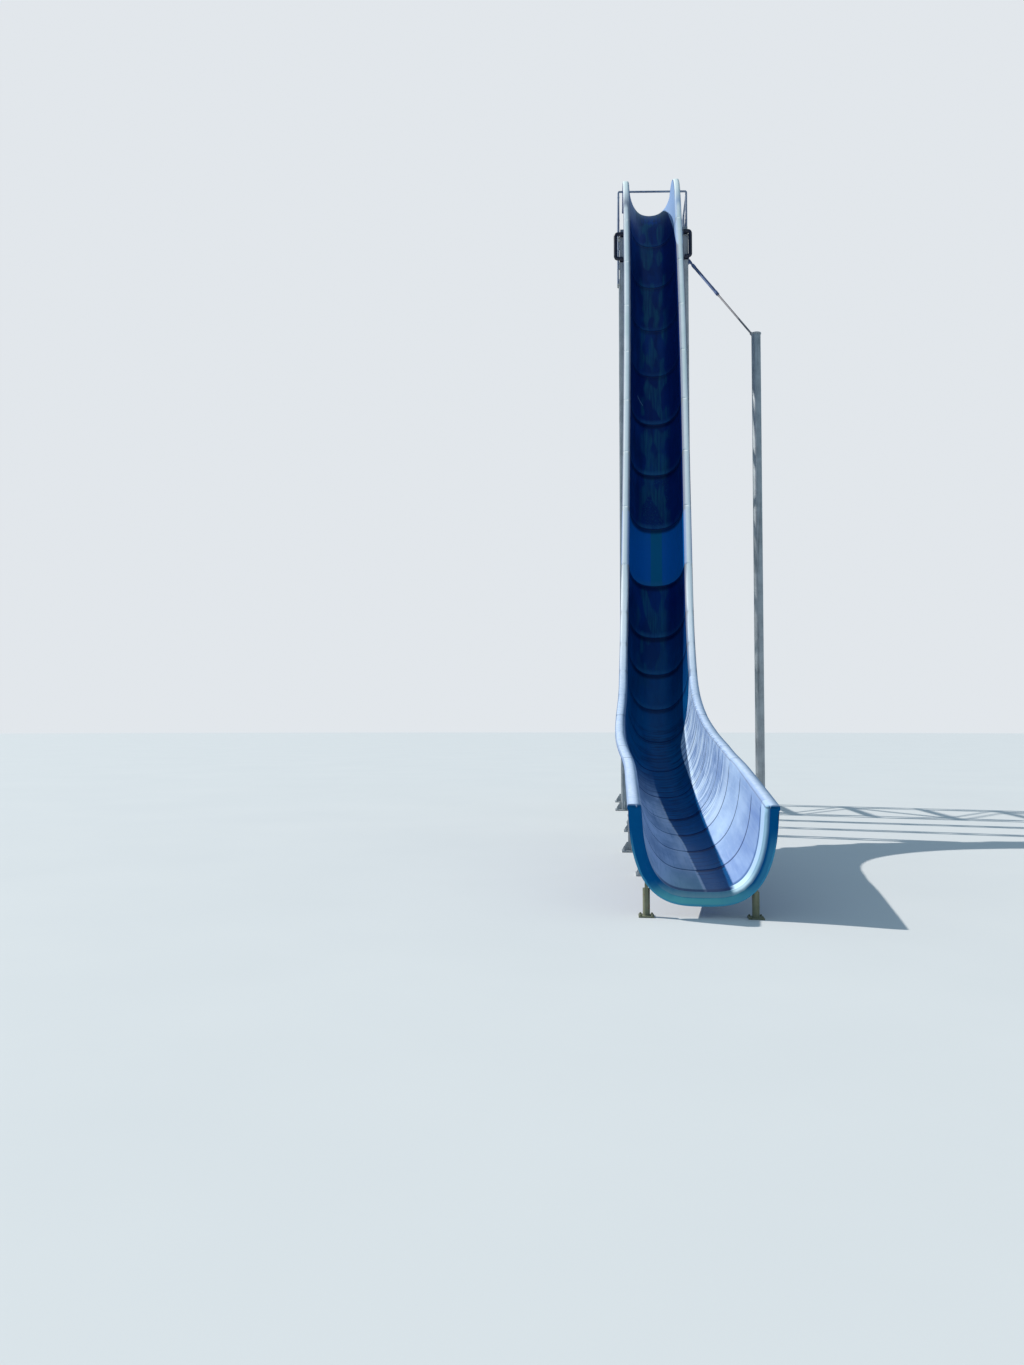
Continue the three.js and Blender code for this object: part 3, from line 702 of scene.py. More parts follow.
# The pale wall's colours, partly faded gelcoat and partly painted sunlight.
faded_and_sunlit = gel.layers(
    tone(148, 174, 212),
    (tone(180, 205, 235), clouds.step(0.3, 0.7)),
    (tone(196, 214, 240), fine_streaks.step(0.54, 0.74) * 0.45),
    (tone(206, 230, 255), painted_sunlight),
    (tone(206, 226, 244), ripples.fade(0.38, 0.47) * rippled * 0.70),
    (tone(84, 112, 164), (arcs * 0.75).most(ripples.step(0.56, 0.66) * rippled * 0.5)),
    (tone(118, 144, 194), run.fade(0.5, 2.1) * (0.56 + 0.4 * streaks.step(0.4, 0.7))),
    (tone(206, 224, 240), (run - RUNOUT).band(0, 0.02, 0.16, 0.46) * 0.28),
    (tone(126, 158, 202), run.step(14.0, 15.0) * 0.75))
print("pale wall mixed")

# %% [markdown]
# The grey field, painted reflection of the lit right wall, is a little greenish towards the mouth. Now the
# fields are laid over each other. In the lower curve even the shaded laminate is a lighter, greener blue
# than the navy of the drop.

# %% The trough, field over field
grey = gel.layers(
    tone(122, 146, 178),
    (tone(156, 176, 206), clouds.step(0.35, 0.65)),
    (tone(96, 122, 160), fine_streaks.step(0.5, 0.75) * 0.6),
    (tone(128, 158, 168), run.fade(0.2, 1.3) * (girth + 0.45).step(0, 0.3) * 0.7))

pale_streak = pale_streak.most(pale_side * streaks.step(0.25, 0.65) * 0.85)
trough = gel.layers(
    navy_shade_and_lime,
    (tone(2, 88, 142), run.fade(5.0, 8.8) * (0.58 + 0.36 * clouds.step(0.35, 0.65))),
    (grey, reflected_light_field),
    (faded_and_sunlit, bleached_and_sunlit),
    (tone(188, 198, 214), pale_streak * 0.75))
print("trough colours mixed")

# %% [markdown]
# Each joint holds a thin dark line of dirt, wider on the run-out. On the shaded floor of the run-out a
# thick dark band hangs below the joint, and on the drop a dark crescent, with a pale, greener edge above.
# On the grey field of painted reflection a pale line lies just below the joint.

# %% Marks along the joints
on_runout = run.fade(2.9, 3.4)
dirt_line = (to_joint + waver * 0.5).fade(0.006 + on_runout * 0.008, 0.017 + on_runout * 0.012)
dirt_line = dirt_line * below_lip.step(0.06, 0.13)
thick_line = (from_high + waver * 2.5).fade(0.060, 0.100 + run.step(1.8, 2.4) * 0.04)
thick_line = thick_line * in_shade * run.fade(3.4, 4.2)
crescent = (from_high + waver).fade(0.05, 0.12)
above = (from_low + waver * 2).fade(0.03, 0.13) * (0.3 + 0.7 * middle) * streaks.step(0.25, 0.5)
pale_under_joint = abs(from_high - 0.035).fade(0.004, 0.016) * reflected_light_field.most(pale_side) * streaks.step(0.35, 0.6)

on_drop = run.step(5.0, 7.0) * (1 - 0.55 * run.step(12.2, 13.4))
trough = gel.layers(
    trough,
    (tone(44, 104, 150), above * on_drop * 0.45),
    (tone(0, 10, 52), crescent * on_drop * 0.80))
print("crescents and edges of the joints drawn")

# %% [markdown]
# The mould of a curved section had five flat facets, which still show as fine ridges across the pale wall
# and as soft dark steps on the shaded floor. The ripples cross that floor too. Everything dark is mixed
# with what lies under it, so that no line covers the laminate whole.

# %% Facets, ripples and dirt
facet = (from_low / (from_low + from_high)).pingpong(1 / 10) * (from_low + from_high)
ridge = (facet + waver * 0.4).fade(0.002, 0.010) * run.band(2.7, 3.3, 8.6, 8.8)
ridge = ridge * (0.4 + 0.6 * clouds.step(0.4, 0.6)) * bleached_and_sunlit.most(reflected_light_field)
step_shade = (facet + waver).fade(0.006, 0.034) * clouds.step(0.42, 0.56) * in_shade * run.fade(5.0, 5.6)
floor_arcs = (arcs * 0.6).most(thick_line * 0.9) * in_shade

for dark, depth, mask in ((tone(0, 22, 72), 0.85, step_shade * 0.6), (tone(0, 18, 62), 0.9, floor_arcs),
                          (tone(6, 26, 76), 0.85, (dirt_line * 0.85).most(ridge * 0.45))):
    trough = gel.blend(trough, gel.blend(trough, dark, depth), mask)
trough = gel.blend(trough, tone(190, 204, 224), pale_under_joint * 0.55)
print("facets, ripples and dirt drawn")

# %% [markdown]
# Riders leave scuffs along the lower chute. One scratch on the drop is an old repair. At the crest, where
# the laminate is thinnest, the navy turns to teal, and to lavender at its left edge.

# %% Scuffs, the scratch and the crest
scuffs = gel.noise(gel.stretched(flow, 60, 2.2, 1), 1.0, 2.0, 0.4).step(0.70, 0.74)
scuffs = scuffs * clouds.step(0.55, 0.62) * run.fade(5.8, 6.4)
scratch_run, scratch_girth = 12.76, -0.29
aside = girth - scratch_girth
scratch = abs(run - scratch_run + aside * 1.04 + waver * 4).fade(0.004, 0.018)
at_crest = run.step(17.2, 17.8) * (1 - bleached_and_sunlit)
trough = gel.layers(
    trough,
    (tone(196, 210, 232), scuffs * 0.35),
    (tone(120, 150, 190), scratch * abs(aside).fade(0.06, 0.08) * 0.7),
    (tone(0, 74, 96), at_crest * 0.60),
    (tone(112, 130, 178), at_crest * (girth + 0.34).fade(-0.02, 0.02) * 0.5))
print("scuffs, scratch and crest drawn")

# %% [markdown]
# The lips are the same gelcoat as the trough, painted pale blue on the run-out and nearly white above the
# curve, a little greener high up: partly chalk, partly painted sunlight. Only three joints left a grey
# smudge on them. The outer edge of the right lip is painted dark, as shade. The backs keep the blue of
# the gelcoat, dulled, with dark runs of rain below every flange.

# %% Colours of the lips and the back
# The pale of the lips is partly painted sunlight; in shade the same gelcoat is navy.
lips_light_shade_and_smudges = gel.layers(
    tone(182, 200, 226),
    (tone(200, 214, 234), mottle.step(0.35, 0.65)),
    (tone(168, 188, 210), clouds.step(0.45, 0.75) * 0.6),
    (tone(244, 250, 250), run.step(5.5, 8.5) * 0.95),
    (tone(216, 232, 228), run.step(9.0, 15.0) * clouds.step(0.4, 0.7) * 0.7))
for place, share in ((RUNOUT, 0.85), (joints[4], 0.35), (joints[6], 0.35)):
    lips_light_shade_and_smudges = gel.blend(lips_light_shade_and_smudges, tone(116, 126, 142), abs(run - place + waver).fade(0.004, 0.028) * share)
# Painted shade: the outer edge of the right lip is darkened, as it faces away from the light.
outer_edge_shade = across.step(0.0, 0.1) * skin.step(0.117, 0.122) * run.step(5.0, 7.0)
lips_light_shade_and_smudges = gel.blend(lips_light_shade_and_smudges, tone(16, 30, 74), outer_edge_shade * 0.9)

rain = gel.noise(gel.stretched(spot, 12, 12, 0.7), 1.0, 4.0, 0.6)
backs = gel.layers(
    tone(14, 60, 140),
    (tone(20, 78, 160), clouds),
    (tone(8, 32, 86), rain.step(0.45, 0.7) * 0.75),
    (tone(100, 124, 150), to_joint.fade(0.010, 0.03) * mottle.step(0.5, 0.7) * 0.35))
print("lips and back mixed")

# %% [markdown]
# At the mouth the wide flange is deep blue. It gets pale and slightly greenish at the bottom: painted
# reflection of the water below. In its lower half the outer edge is a pale teal, and at the right that edge
# is wider.

# %% Colours of the flat flange
face = run.fade(0.0004, 0.0012)
mouth_blue = gel.blend(tone(0, 74, 128), tone(2, 86, 142), mottle)
# Pale green at the bottom of the flange: painted reflection of the water below.
water_reflection = (up + (streaks - 0.5) * 0.1).fade(-0.10, 0.12)
mouth_blue = gel.blend(mouth_blue, tone(100, 184, 188), water_reflection * 0.85)
wide_rim = girth.step(0.1, 0.3) * skin.step(0.050, 0.080) * 0.6
rim = skin.step(0.100, 0.112).most(wide_rim) * up.fade(0.35, 0.60)
mouth_face = gel.blend(mouth_blue, tone(72, 150, 184), rim * 0.8)
print("flange mixed")

# %% [markdown]
# The trough rolls out into the flange. At the left and the bottom the roll is blue like the flange, with a
# dark line before it. At the right it is painted white, a painted highlight where the sun falls on it.
# There a white band begins a hand's breadth before the mouth, at a dark line, and it is whitest at the
# bottom.

# %% Colours of the roll at the mouth
at_right = girth.step(0.24, 0.30)
from_band = run - 0.150 - girth.step(0.3, 1.1) * 0.09
# White band on the right wall before the mouth: painted highlight of sunlight.
band_highlight = gel.blend(tone(204, 232, 250), tone(178, 205, 232), girth.step(0.38, 0.54))
band_line = from_band.band(-0.010, 0.004, 0.03, 0.08) * below_lip.step(0.05, 0.09)
roll_line = run.band(0.040, 0.048, 0.11, 0.15) * (1 - at_right) * (girth + 0.60).step(0, 0.25)
trough = gel.layers(
    trough,
    (band_highlight, from_band.fade(-0.012, 0.0) * at_right * 0.9),
    (tone(60, 92, 140), band_line * at_right * 0.75),
    (tone(6, 34, 84), roll_line * 0.72))

roll = run.fade(0.036, 0.046) * skin.fade(0.0445, 0.0465) * below_lip.step(0.0, 0.02)
# The roll at the right is painted white, as a highlight of sunlight.
roll_highlight = gel.blend(tone(208, 236, 246), tone(156, 192, 214), girth.step(0.38, 0.56))
# At the bottom the roll is painted grey-green as reflection of the water below.
roll_colour = gel.layers(
    mouth_blue,
    (tone(124, 144, 162), water_reflection * 0.8),
    (roll_highlight, at_right * (1 - skin.step(0.016, 0.044) * 0.8)))
print("roll of the mouth mixed")

# %% [markdown]
# The colours meet in one sum: lips over the trough, then the back, the roll and the flat flange. The open
# end of the start tub keeps its pale lip all round.

# %% One colour for the whole laminate
colour = gel.layers(
    trough,
    (lips_light_shade_and_smudges, on_lip * (1 - back * 0.7 * run.fade(17.2, 17.6))),
    (backs, back * (1 - on_lip)),
    (roll_colour, roll),
    (mouth_face, face * skin.step(0.043, 0.045) * below_lip.step(0.0, 0.02)))
print(len(gel.tree.nodes), "nodes in the colours")

# %% [markdown]
# Gloss and relief. The wet run is polished, chalk is matt. The crown of the lip is round on the run-out
# and flatter, with rounder corners, above the curve. Laminate is never quite flat: it has a long ripple
# from the mould, an orange peel from the roller, and small steps at the joints and ridges.

# %% Gloss and relief of the gelcoat
chalky = bleached_and_sunlit.most(reflected_light_field * 0.8).most(on_lip)
gloss = 0.26 + 0.14 * clouds + 0.32 * chalky + 0.12 * mottle + 0.2 * dirt_line
LIP_MIDDLE, LIP_HALF = 0.064, 0.066
off_crown = (skin - LIP_MIDDLE) / LIP_HALF
crown = off_crown * off_crown
high = run.step(5.0, 7.0)
rounded_lip = (1 - crown * (1 - high + crown * high)) * on_lip * skin.step(0.0, 0.01).most(high)
relief = gel.bump(rounded_lip, 0.034, 0.9)
relief = gel.bump(gel.noise(gel.stretched(flow, 2.2, 3.4, 1), 1.0, 2.0), 0.006, 0.55, relief)
relief = gel.bump(mottle, 0.0012, 0.5, relief)
relief = gel.bump(pores, 0.0003, 0.35, relief)
relief = gel.bump(1 - dirt_line, 0.006, 0.9, relief)
relief = gel.bump(ridge, 0.004, 0.7, relief)
gelcoat = gel.ends_in(colour, gloss, relief, Coat_Weight=(0.02 - 0.01 * chalky))
print(len(gel.tree.nodes), "nodes in the gelcoat")

# %% [markdown]
# Now the sections themselves. One of them, the lowest on the drop, was replaced at some time and is still
# a brighter blue than the rest, so its batch number is 1. The others differ a little from one another.

# %% The sections
REPLACED = "steep_section_1"
for name, start, end in sections:
    piece = merged_copy(name)
    crease_corners(piece, 50)
    rounded_skin(piece, 2 if start < STEEP_START else 1)
    batch_number = 1.0 if name == REPLACED else (section_names.index(name) * 0.17) % 0.4
    reach = unroll(piece, start, end, batch_number)
    finish(piece, name + "_laminate", [name], gelcoat, smooth=35)
    print(piece.name, len(piece.data.polygons), "faces, line from", reach)


# %% [markdown]
# ## Steel
# The tower is hot-dip galvanised: a dull grey with a faint crystal pattern, darker where rain runs down and
# a little rusty at the foot. One recipe serves every steel part, and each finish gives it its own tones.

# %% Galvanised and painted steel


def steel(name, light, dark, stain, rust=0.0, shine=0.42, metal=0.75, crystals=1.0):
    zinc = Finish(name, Specular_IOR_Level=0.5)
    here = zinc.place()
    height = zinc.xyz(here)[2]
    crystal = zinc.node("ShaderNodeTexVoronoi", {"feature": "F1"}, {"Vector": here, "Scale": 55.0}, "Color")
    grain = zinc.xyz(crystal)[0]
    cloudy = zinc.noise(here, 3.2, 5.0, 0.6)
    rain = zinc.noise(zinc.stretched(here, 22, 22, 0.9), 1.0, 4.0, 0.65)
    fine = zinc.noise(here, 120.0, 3.0)
    foot = height.fade(0.05, 0.9)
    spots = zinc.noise(here, 14.0, 5.0, 0.7).step(0.60, 0.70) * (foot * 0.8 + 0.2) * rust
    tint = zinc.layers(
        dark,
        (light, cloudy.step(0.3, 0.7)),
        (light, grain * 0.35 * crystals),
        (stain, rain.step(0.52, 0.74) * 0.65),
        (tone(112, 66, 38), spots))
    rough = shine + 0.18 * cloudy + 0.08 * grain * crystals + 0.25 * spots
    skin_relief = zinc.bump(fine, 0.0004, 0.4)
    skin_relief = zinc.bump(cloudy + spots * 0.6, 0.0015, 0.35, skin_relief)
    return zinc.ends_in(tint, rough, skin_relief, Metallic=metal - 0.6 * spots)


galvanised = steel("galvanised", tone(176, 182, 186), tone(142, 149, 154), tone(96, 100, 102), rust=0.6)
rail_steel = steel("rail_steel", tone(140, 152, 172), tone(104, 116, 138), tone(64, 74, 94),
                   shine=0.40, metal=0.3)
rod_steel = steel("rod_steel", tone(132, 130, 134), tone(104, 104, 110), tone(78, 78, 84),
                  shine=0.50, metal=0.4)
olive_posts = steel("olive_posts", tone(132, 134, 112), tone(98, 102, 80), tone(60, 62, 46),
                    rust=1.0, shine=0.5, metal=0.45)
grating_steel = steel("grating_steel", tone(160, 166, 170), tone(126, 133, 138), tone(90, 94, 96),
                      rust=0.3, shine=0.46)
bolt_zinc = steel("bolt_zinc", tone(196, 196, 188), tone(158, 158, 150), tone(112, 106, 94),
                  rust=0.7, crystals=0.2)
dark_paint = steel("dark_paint", tone(26, 34, 58), tone(15, 20, 40), tone(44, 50, 66),
                   rust=0.25, shine=0.34, metal=0.1, crystals=0.0)
stay_paint = steel("stay_paint", tone(88, 110, 152), tone(60, 80, 122), tone(40, 52, 80),
                   rust=0.3, shine=0.38, metal=0.25, crystals=0.0)
print(len(bpy.data.materials), "materials")

# %% [markdown]
# The frames and lattices have the right shape as they are, so their solids stay and only get their finish.

# %% Solids that stay
for name in ("runout_frame", "curve_frame", "low_frame", "middle_frame", "high_frame", "left_side_bracing",
             "right_side_bracing", "front_bracing", "rear_bracing"):
    solid = nodes[name]
    solid.data.materials.clear()
    solid.data.materials.append(galvanised)
print("lattices and frames are galvanised")

# %% [markdown]
# The columns and the beams are hollow sections with rounded corners, and the exit posts are round tube on
# small plates. Each is a merged copy of its solid with every sharp edge rolled a few millimetres, so that
# the edges catch the light.

# %% Rolled edges on columns, beams and posts


def rolled(node_name, radius):
    piece = merged_copy(node_name)
    only(piece)
    roll = piece.modifiers.new("roll", "BEVEL")
    roll.width, roll.segments, roll.limit_method = radius, 2, "ANGLE"
    roll.angle_limit = math.radians(40)
    bpy.ops.object.modifier_apply(modifier=roll.name)
    return piece


for name in ("front_left_column", "front_right_column", "rear_left_column", "rear_right_column"):
    finish(rolled(name, 0.007), name + "_section", [name], galvanised, 50)
beams = rolled("platform_frame", 0.004)
finish(beams, "platform_beams", ["platform_frame"], galvanised, 50)
for side in ("left", "right"):
    finish(rolled(side + "_exit_post", 0.005), side + "_exit_post_section", [side + "_exit_post"],
           olive_posts, 50)
print("columns, beams and exit posts rolled")

# %% [markdown]
# ## Small parts that repeat
# A bolt, a stiffener and a node plate are each modelled once, at the origin, and copied to where they
# belong. A copy gets its own mesh, and the copies that belong together are joined into one piece.

# %% Copies and joins


def placed(pattern, matrix):
    only(pattern)
    bpy.ops.object.duplicate(linked=False)
    twin = bpy.context.active_object
    twin.data.transform(matrix)
    return twin


def joined(parts):
    only(*parts)
    if len(parts) > 1:
        bpy.ops.object.join()
    return bpy.context.active_object


def facing(point, axis, up=(0, 0, 1)):
    """Where a part goes whose own z axis shall point along axis."""
    z = Vector(axis).normalized()
    x = Vector(up).cross(z)
    if x.length < 1e-4:
        x = Vector((1, 0, 0))
    x.normalize()
    turn = Matrix((x, z.cross(x), z)).transposed().to_4x4()
    return Matrix.Translation(Vector(point)) @ turn


# %% [markdown]
# A bolt is a hexagon with its corners turned off, on a washer, with a stub of thread. The hexagon starts as
# a six-sided cylinder, and its top face is inset and lifted to make the turned corners.

# %% A bolt head on its washer


def bolt(size, stub):
    """Head or nut of a bolt, thread size in metres, standing on z = 0."""
    washer = cylinder(12, size * 1.15, size * 0.2, size * 0.1)
    end = cylinder(8, size * 0.5, stub, size * 0.8 + stub / 2 - 0.001)
    head = cylinder(6, size * 0.95, size * 0.6, size * 0.5)
    for piece, inset, lift in ((washer, 0.06, 0.02), (end, 0.08, 0.06), (head, 0.14, 0.10)):
        with editing(piece, "FACE"):
            pick(piece, "faces", lambda face: face.normal.z > 0.9)
            bpy.ops.mesh.inset(thickness=size * inset, depth=size * lift)
    made = joined([washer, end, head])
    only(made)
    bpy.ops.object.transform_apply(location=True, rotation=True, scale=True)
    return made


small_bolt, big_bolt = bolt(0.012, 0.006), bolt(0.020, 0.022)
small_bolt.name, big_bolt.name = "pattern_small_bolt", "pattern_big_bolt"
print("bolt faces", len(small_bolt.data.polygons))

# %% [markdown]
# ## Bolts along the joints
# Every joint of the chute is two flanges on the back of the laminate, pulled together by bolts about 150 mm
# apart. Each bolt shows a head on the uphill flange and a nut on the other. They follow the wall at half
# the depth of the flange, so their places come from the same list of wall points.

# %% Where the bolts of a joint sit
BOLTED_SHARE, BOLT_PITCH, HALF_FLANGE, FLANGE_THICK = 0.84, 0.15, 0.038, 0.0101


def wall_point(s, share_of_girth, offset):
    """Point in the cross section, a share of the way round the wall, that far outside its inner face."""
    wall = wall_at(s)
    lengths = [(b - a).length for a, b in zip(wall, wall[1:])]
    left = abs(share_of_girth) * sum(lengths)
    for a, b, length in zip(wall, wall[1:], lengths):
        if left <= length or b is wall[-1]:
            break
        left -= length
    step = (b - a).normalized()
    spot = a + step * left + Vector((step.y, -step.x)) * offset
    return Vector((math.copysign(spot.x, share_of_girth), spot.y))


def girth_at(s):
    """Length of the wall from the middle of the floor to the lip."""
    wall = wall_at(s)
    return sum((b - a).length for a, b in zip(wall, wall[1:]))


def joint_bolts(s, name):
    along, girth = along_chute(s), girth_at(s)
    count = 2 * round(BOLTED_SHARE * girth / BOLT_PITCH) + 1
    parts = []
    for k in range(count):
        share = BOLTED_SHARE * (2 * k / (count - 1) - 1)
        where = wall_point(s, share if share else 1e-6, HALF_FLANGE)
        for nudge in (FLANGE_THICK, -FLANGE_THICK):
            point = on_chute(s, where.x, where.y, nudge)
            parts.append(placed(small_bolt, facing(point, along * nudge, (1, 0, 0))))
    return finish(joined(parts), name, [], bolt_zinc, 30)


for number, s in enumerate(joints[1:-1], 1):
    piece = joint_bolts(s, f"joint_bolts_{number}")
print(number, "joints bolted, the last with", len(piece.data.polygons), "faces")

# %% [markdown]
# ## Tubes
# The bar, the rails and the brackets are round tube, bent cold on a former, so every corner is an arc. A
# tube here is a curve through rounded corners with a round bevel, turned into a mesh.

# %% Bent tube


def rounded(points, radius, steps=6):
    """The same line with every corner replaced by a curve close to an arc."""
    points = [Vector(p) for p in points]
    line = [points[0]]
    for before, corner, after in zip(points, points[1:], points[2:]):
        u, w = (before - corner).normalized(), (after - corner).normalized()
        angle = u.angle(w)
        room = min((before - corner).length, (after - corner).length)
        reach = min(radius / math.tan(angle / 2), 0.49 * room)
        for k in range(steps + 1):
            t = k / steps
            a, b = corner + u * reach, corner + w * reach
            line.append(a.lerp(corner, t).lerp(corner.lerp(b, t), t))
    return line + [points[-1]]


def tube(points, diameter, corner=0.06, closed=False, ripple=0.0):
    """A tube through points in the chute's own coordinates. A ripple makes it read as a weld bead."""
    line = [Vector(p) for p in points] if closed else rounded(points, corner)
    curve = bpy.data.curves.new("run", "CURVE")
    curve.dimensions, curve.bevel_depth, curve.bevel_resolution = "3D", diameter / 2, 3 if ripple else 6
    curve.use_fill_caps = not closed
    spline = curve.splines.new("POLY")
    spline.points.add(len(line) - 1)
    for k, (knot, spot) in enumerate(zip(spline.points, line)):
        knot.co = (*(spot + SHIFT), 1)
        knot.radius = 1 + ripple * (k % 2)
    spline.use_cyclic_u = closed
    piece = bpy.data.objects.new("run", curve)
    bpy.context.scene.collection.objects.link(piece)
    only(piece)
    bpy.ops.object.convert(target="MESH")
    piece = bpy.context.active_object
    with editing(piece):
        bpy.ops.mesh.select_all(action="SELECT")
        bpy.ops.mesh.remove_doubles(threshold=0.00005)
        bpy.ops.mesh.normals_make_consistent(inside=False)
    return piece


def weld(centre, axis, radius, bead=0.006):
    """A bead of weld round a tube."""
    place = facing(centre, axis)
    ring = [place @ Vector((radius * math.cos(a), radius * math.sin(a), 0))
            for a in (2 * math.pi * k / 28 for k in range(28))]
    return tube(ring, bead, closed=True, ripple=0.35)


print("tubes bend and weld beads close")

# %% [markdown]
# Plates, flat bars and blocks are boxes with their corners rounded and their edges lightly broken, as a saw
# and a file leave them. The corners are the edges that run along the thin side.

# %% Plates and their bolts


def runs_along(edge, axis):
    return abs((edge.verts[0].co - edge.verts[1].co).normalized()[axis]) > 0.9


def turns_by(edge, least):
    """Whether the two faces of an edge turn by more than that many radians."""
    return len(edge.link_faces) == 2 and edge.calc_face_angle(0) > least


def plate(low, high, round_off=0.006):
    """A flat plate or block between two corners, in the chute's own coordinates."""
    low, high = Vector(low) + SHIFT, Vector(high) + SHIFT
    piece = box(high - low, (low + high) / 2)
    with editing(piece, "EDGE"):
        thin = min(range(3), key=lambda k: (high - low)[k])
        pick(piece, "edges", lambda edge: runs_along(edge, thin))
        bpy.ops.mesh.bevel(offset=round_off, segments=3)
        pick(piece, "edges", lambda edge: turns_by(edge, 1.2))
        bpy.ops.mesh.bevel(offset=min(0.0015, (high - low)[thin] * 0.2), segments=1)
    return piece


def bolts_on(spots, axis, pattern):
    return [placed(pattern, facing(Vector(spot) + SHIFT, axis)) for spot in spots]


print("plates and bolts ready")

# %% [markdown]
# ## Start bar
# A hoop of 42 mm tube stands over the start tub, so that a rider can swing in. Its legs run down beside the
# deck, and each is welded to a plate that four bolts hold to the side of the platform beam. It stands a
# little askew on the tower: its left leg is nearer to the drop than its right one.

# %% The hoop over the tub
TOWER_X, DECK_TOP, DECK_HALF = 0.085, 11.990, 0.690
RAIL_X, BAR_Y, BAR_Z, BAR_SKEW, TUBE = 0.720, 12.250, 13.105, 0.056, 0.042
LEG_LOW = DECK_TOP - 0.145


def side_plate(side, y):
    """Plate of a leg on the side of the deck, two weld beads along the leg, and four bolts."""
    near, far = [TOWER_X + side * v for v in (DECK_HALF + 0.0003, DECK_HALF + 0.010)]
    low, high = LEG_LOW - 0.005, DECK_TOP - 0.005
    parts = [plate((min(near, far), y - 0.045, low), (max(near, far), y + 0.045, high), 0.010)]
    bead_x = far + side * 0.002
    for step in (-0.013, 0.013):
        parts.append(tube([(bead_x, y + step, low + 0.006), (bead_x, y + step, high)], 0.007))
    spots = [(far, y + a, z) for a in (-0.031, 0.031) for z in (low + 0.022, high - 0.022)]
    return parts + bolts_on(spots, (side, 0, 0), small_bolt)


left, right = [(TOWER_X + side * RAIL_X, BAR_Y + side * BAR_SKEW) for side in (-1, 1)]
hoop = tube([(*left, LEG_LOW), (*left, BAR_Z), (*right, BAR_Z), (*right, LEG_LOW)], TUBE, 0.030)
bar = joined([hoop] + side_plate(-1, left[1]) + side_plate(1, right[1]))
finish(bar, "start_bar_hoop", ["start_bar"], rail_steel, 45)
print("hoop", [round(v, 3) for v in bar.dimensions])

# %% [markdown]
# ## Side rails
# The guard rails run back from the hoop along both edges of the deck: a top rail that bends down into its
# own end post, a knee rail, and one post between. Their ends meet the hoop in small welded sockets.

# %% Rails along the deck
REAR_Y, POST_Y, HAND, KNEE = 13.950, 13.130, 13.000, 12.500
for side in (-1, 1):
    x, end = TOWER_X + side * RAIL_X, REAR_Y + 0.060 - TUBE / 2
    front = BAR_Y + side * BAR_SKEW + TUBE / 2 + 0.001
    parts = [tube([(x, front, HAND), (x, end, HAND), (x, end, LEG_LOW)], TUBE, 0.090),
             tube([(x, front, KNEE), (x, end, KNEE)], 0.038),
             tube([(x, POST_Y, HAND - 0.001), (x, POST_Y, LEG_LOW)], TUBE)]
    parts += [tube([(x, front + 0.002, z), (x, front + 0.034, z)], TUBE + 0.008) for z in (HAND, KNEE)]
    for y in (POST_Y, end):
        parts += [weld((x, y + step, KNEE), (0, 1, 0), 0.020) for step in (-0.021, 0.021) if y + step < end]
    parts.append(weld((x, POST_Y, HAND - 0.020), (0, 0, 1), TUBE / 2 + 0.001))
    parts += side_plate(side, POST_Y) + side_plate(side, end)
    word = "left" if side < 0 else "right"
    rail = finish(joined(parts), word + "_guard_rail", [word + "_side_rail"], rail_steel, 45)
    print(rail.name, len(rail.data.polygons), "faces")

# %% [markdown]
# ## Deck brackets
# At both front corners the photograph shows a dark tube bent like a C, just under the deck. It is thick
# tube with black-blue paint, held to the front of the beam and of the column by two pads. The photograph
# shows the right one nearer to its column.

# %% Bent brackets
FRONT_Y, COLUMN_FACE = 11.680, 0.0553
for side, word, out in ((-1, "left", 0.786), (1, "right", 0.740)):
    y, top, low = FRONT_Y - 0.055 - 0.078, 11.875, 11.356
    x = [TOWER_X + side * v for v in (0.615, out, out, 0.640)]
    parts = [tube(list(zip(x, (y,) * 4, (top, top, low, low))), 0.076, 0.060)]
    for z in (top, low):
        middle = TOWER_X + side * 0.655
        face = FRONT_Y - COLUMN_FACE
        parts.append(plate((middle - 0.025, y, z - 0.026), (middle + 0.025, face, z + 0.026)))
        parts.append(plate((middle - 0.045, face - 0.010, z - 0.045),
                           (middle + 0.045, face, z + 0.026), 0.008))
        parts.append(weld((middle - side * 0.03, y, z), (1, 0, 0), 0.0385))
    finish(joined(parts), word + "_bent_bracket", [word + "_deck_bracket"], dark_paint, 45)
print("brackets bent")

# %% [markdown]
# ## Deck
# The deck is open grating: upright bearing bars, 37 by 3.5 mm, tied by thin cross rods and framed by a
# flat bar. One bar is modelled and repeated with an array, as the maker welds them in a row. The panels
# rest on the beams, and their frames close the gap round the start tub.

# %% Grating panels
DECK_LOW, NOTCH, TUB_REAR = DECK_TOP - 0.060, 0.520, floor_at(LINE_END)[0]
FLAT, BEARER_PITCH, ROD_PITCH = 0.006, 0.034, 0.10


def repeated(piece, count, offset):
    """The piece as a row of so many, each moved on by the offset."""
    row = piece.modifiers.new("row", "ARRAY")
    row.count, row.use_relative_offset, row.use_constant_offset = count, False, True
    row.constant_offset_displace = offset
    only(piece)
    bpy.ops.object.modifier_apply(modifier=row.name)
    return piece


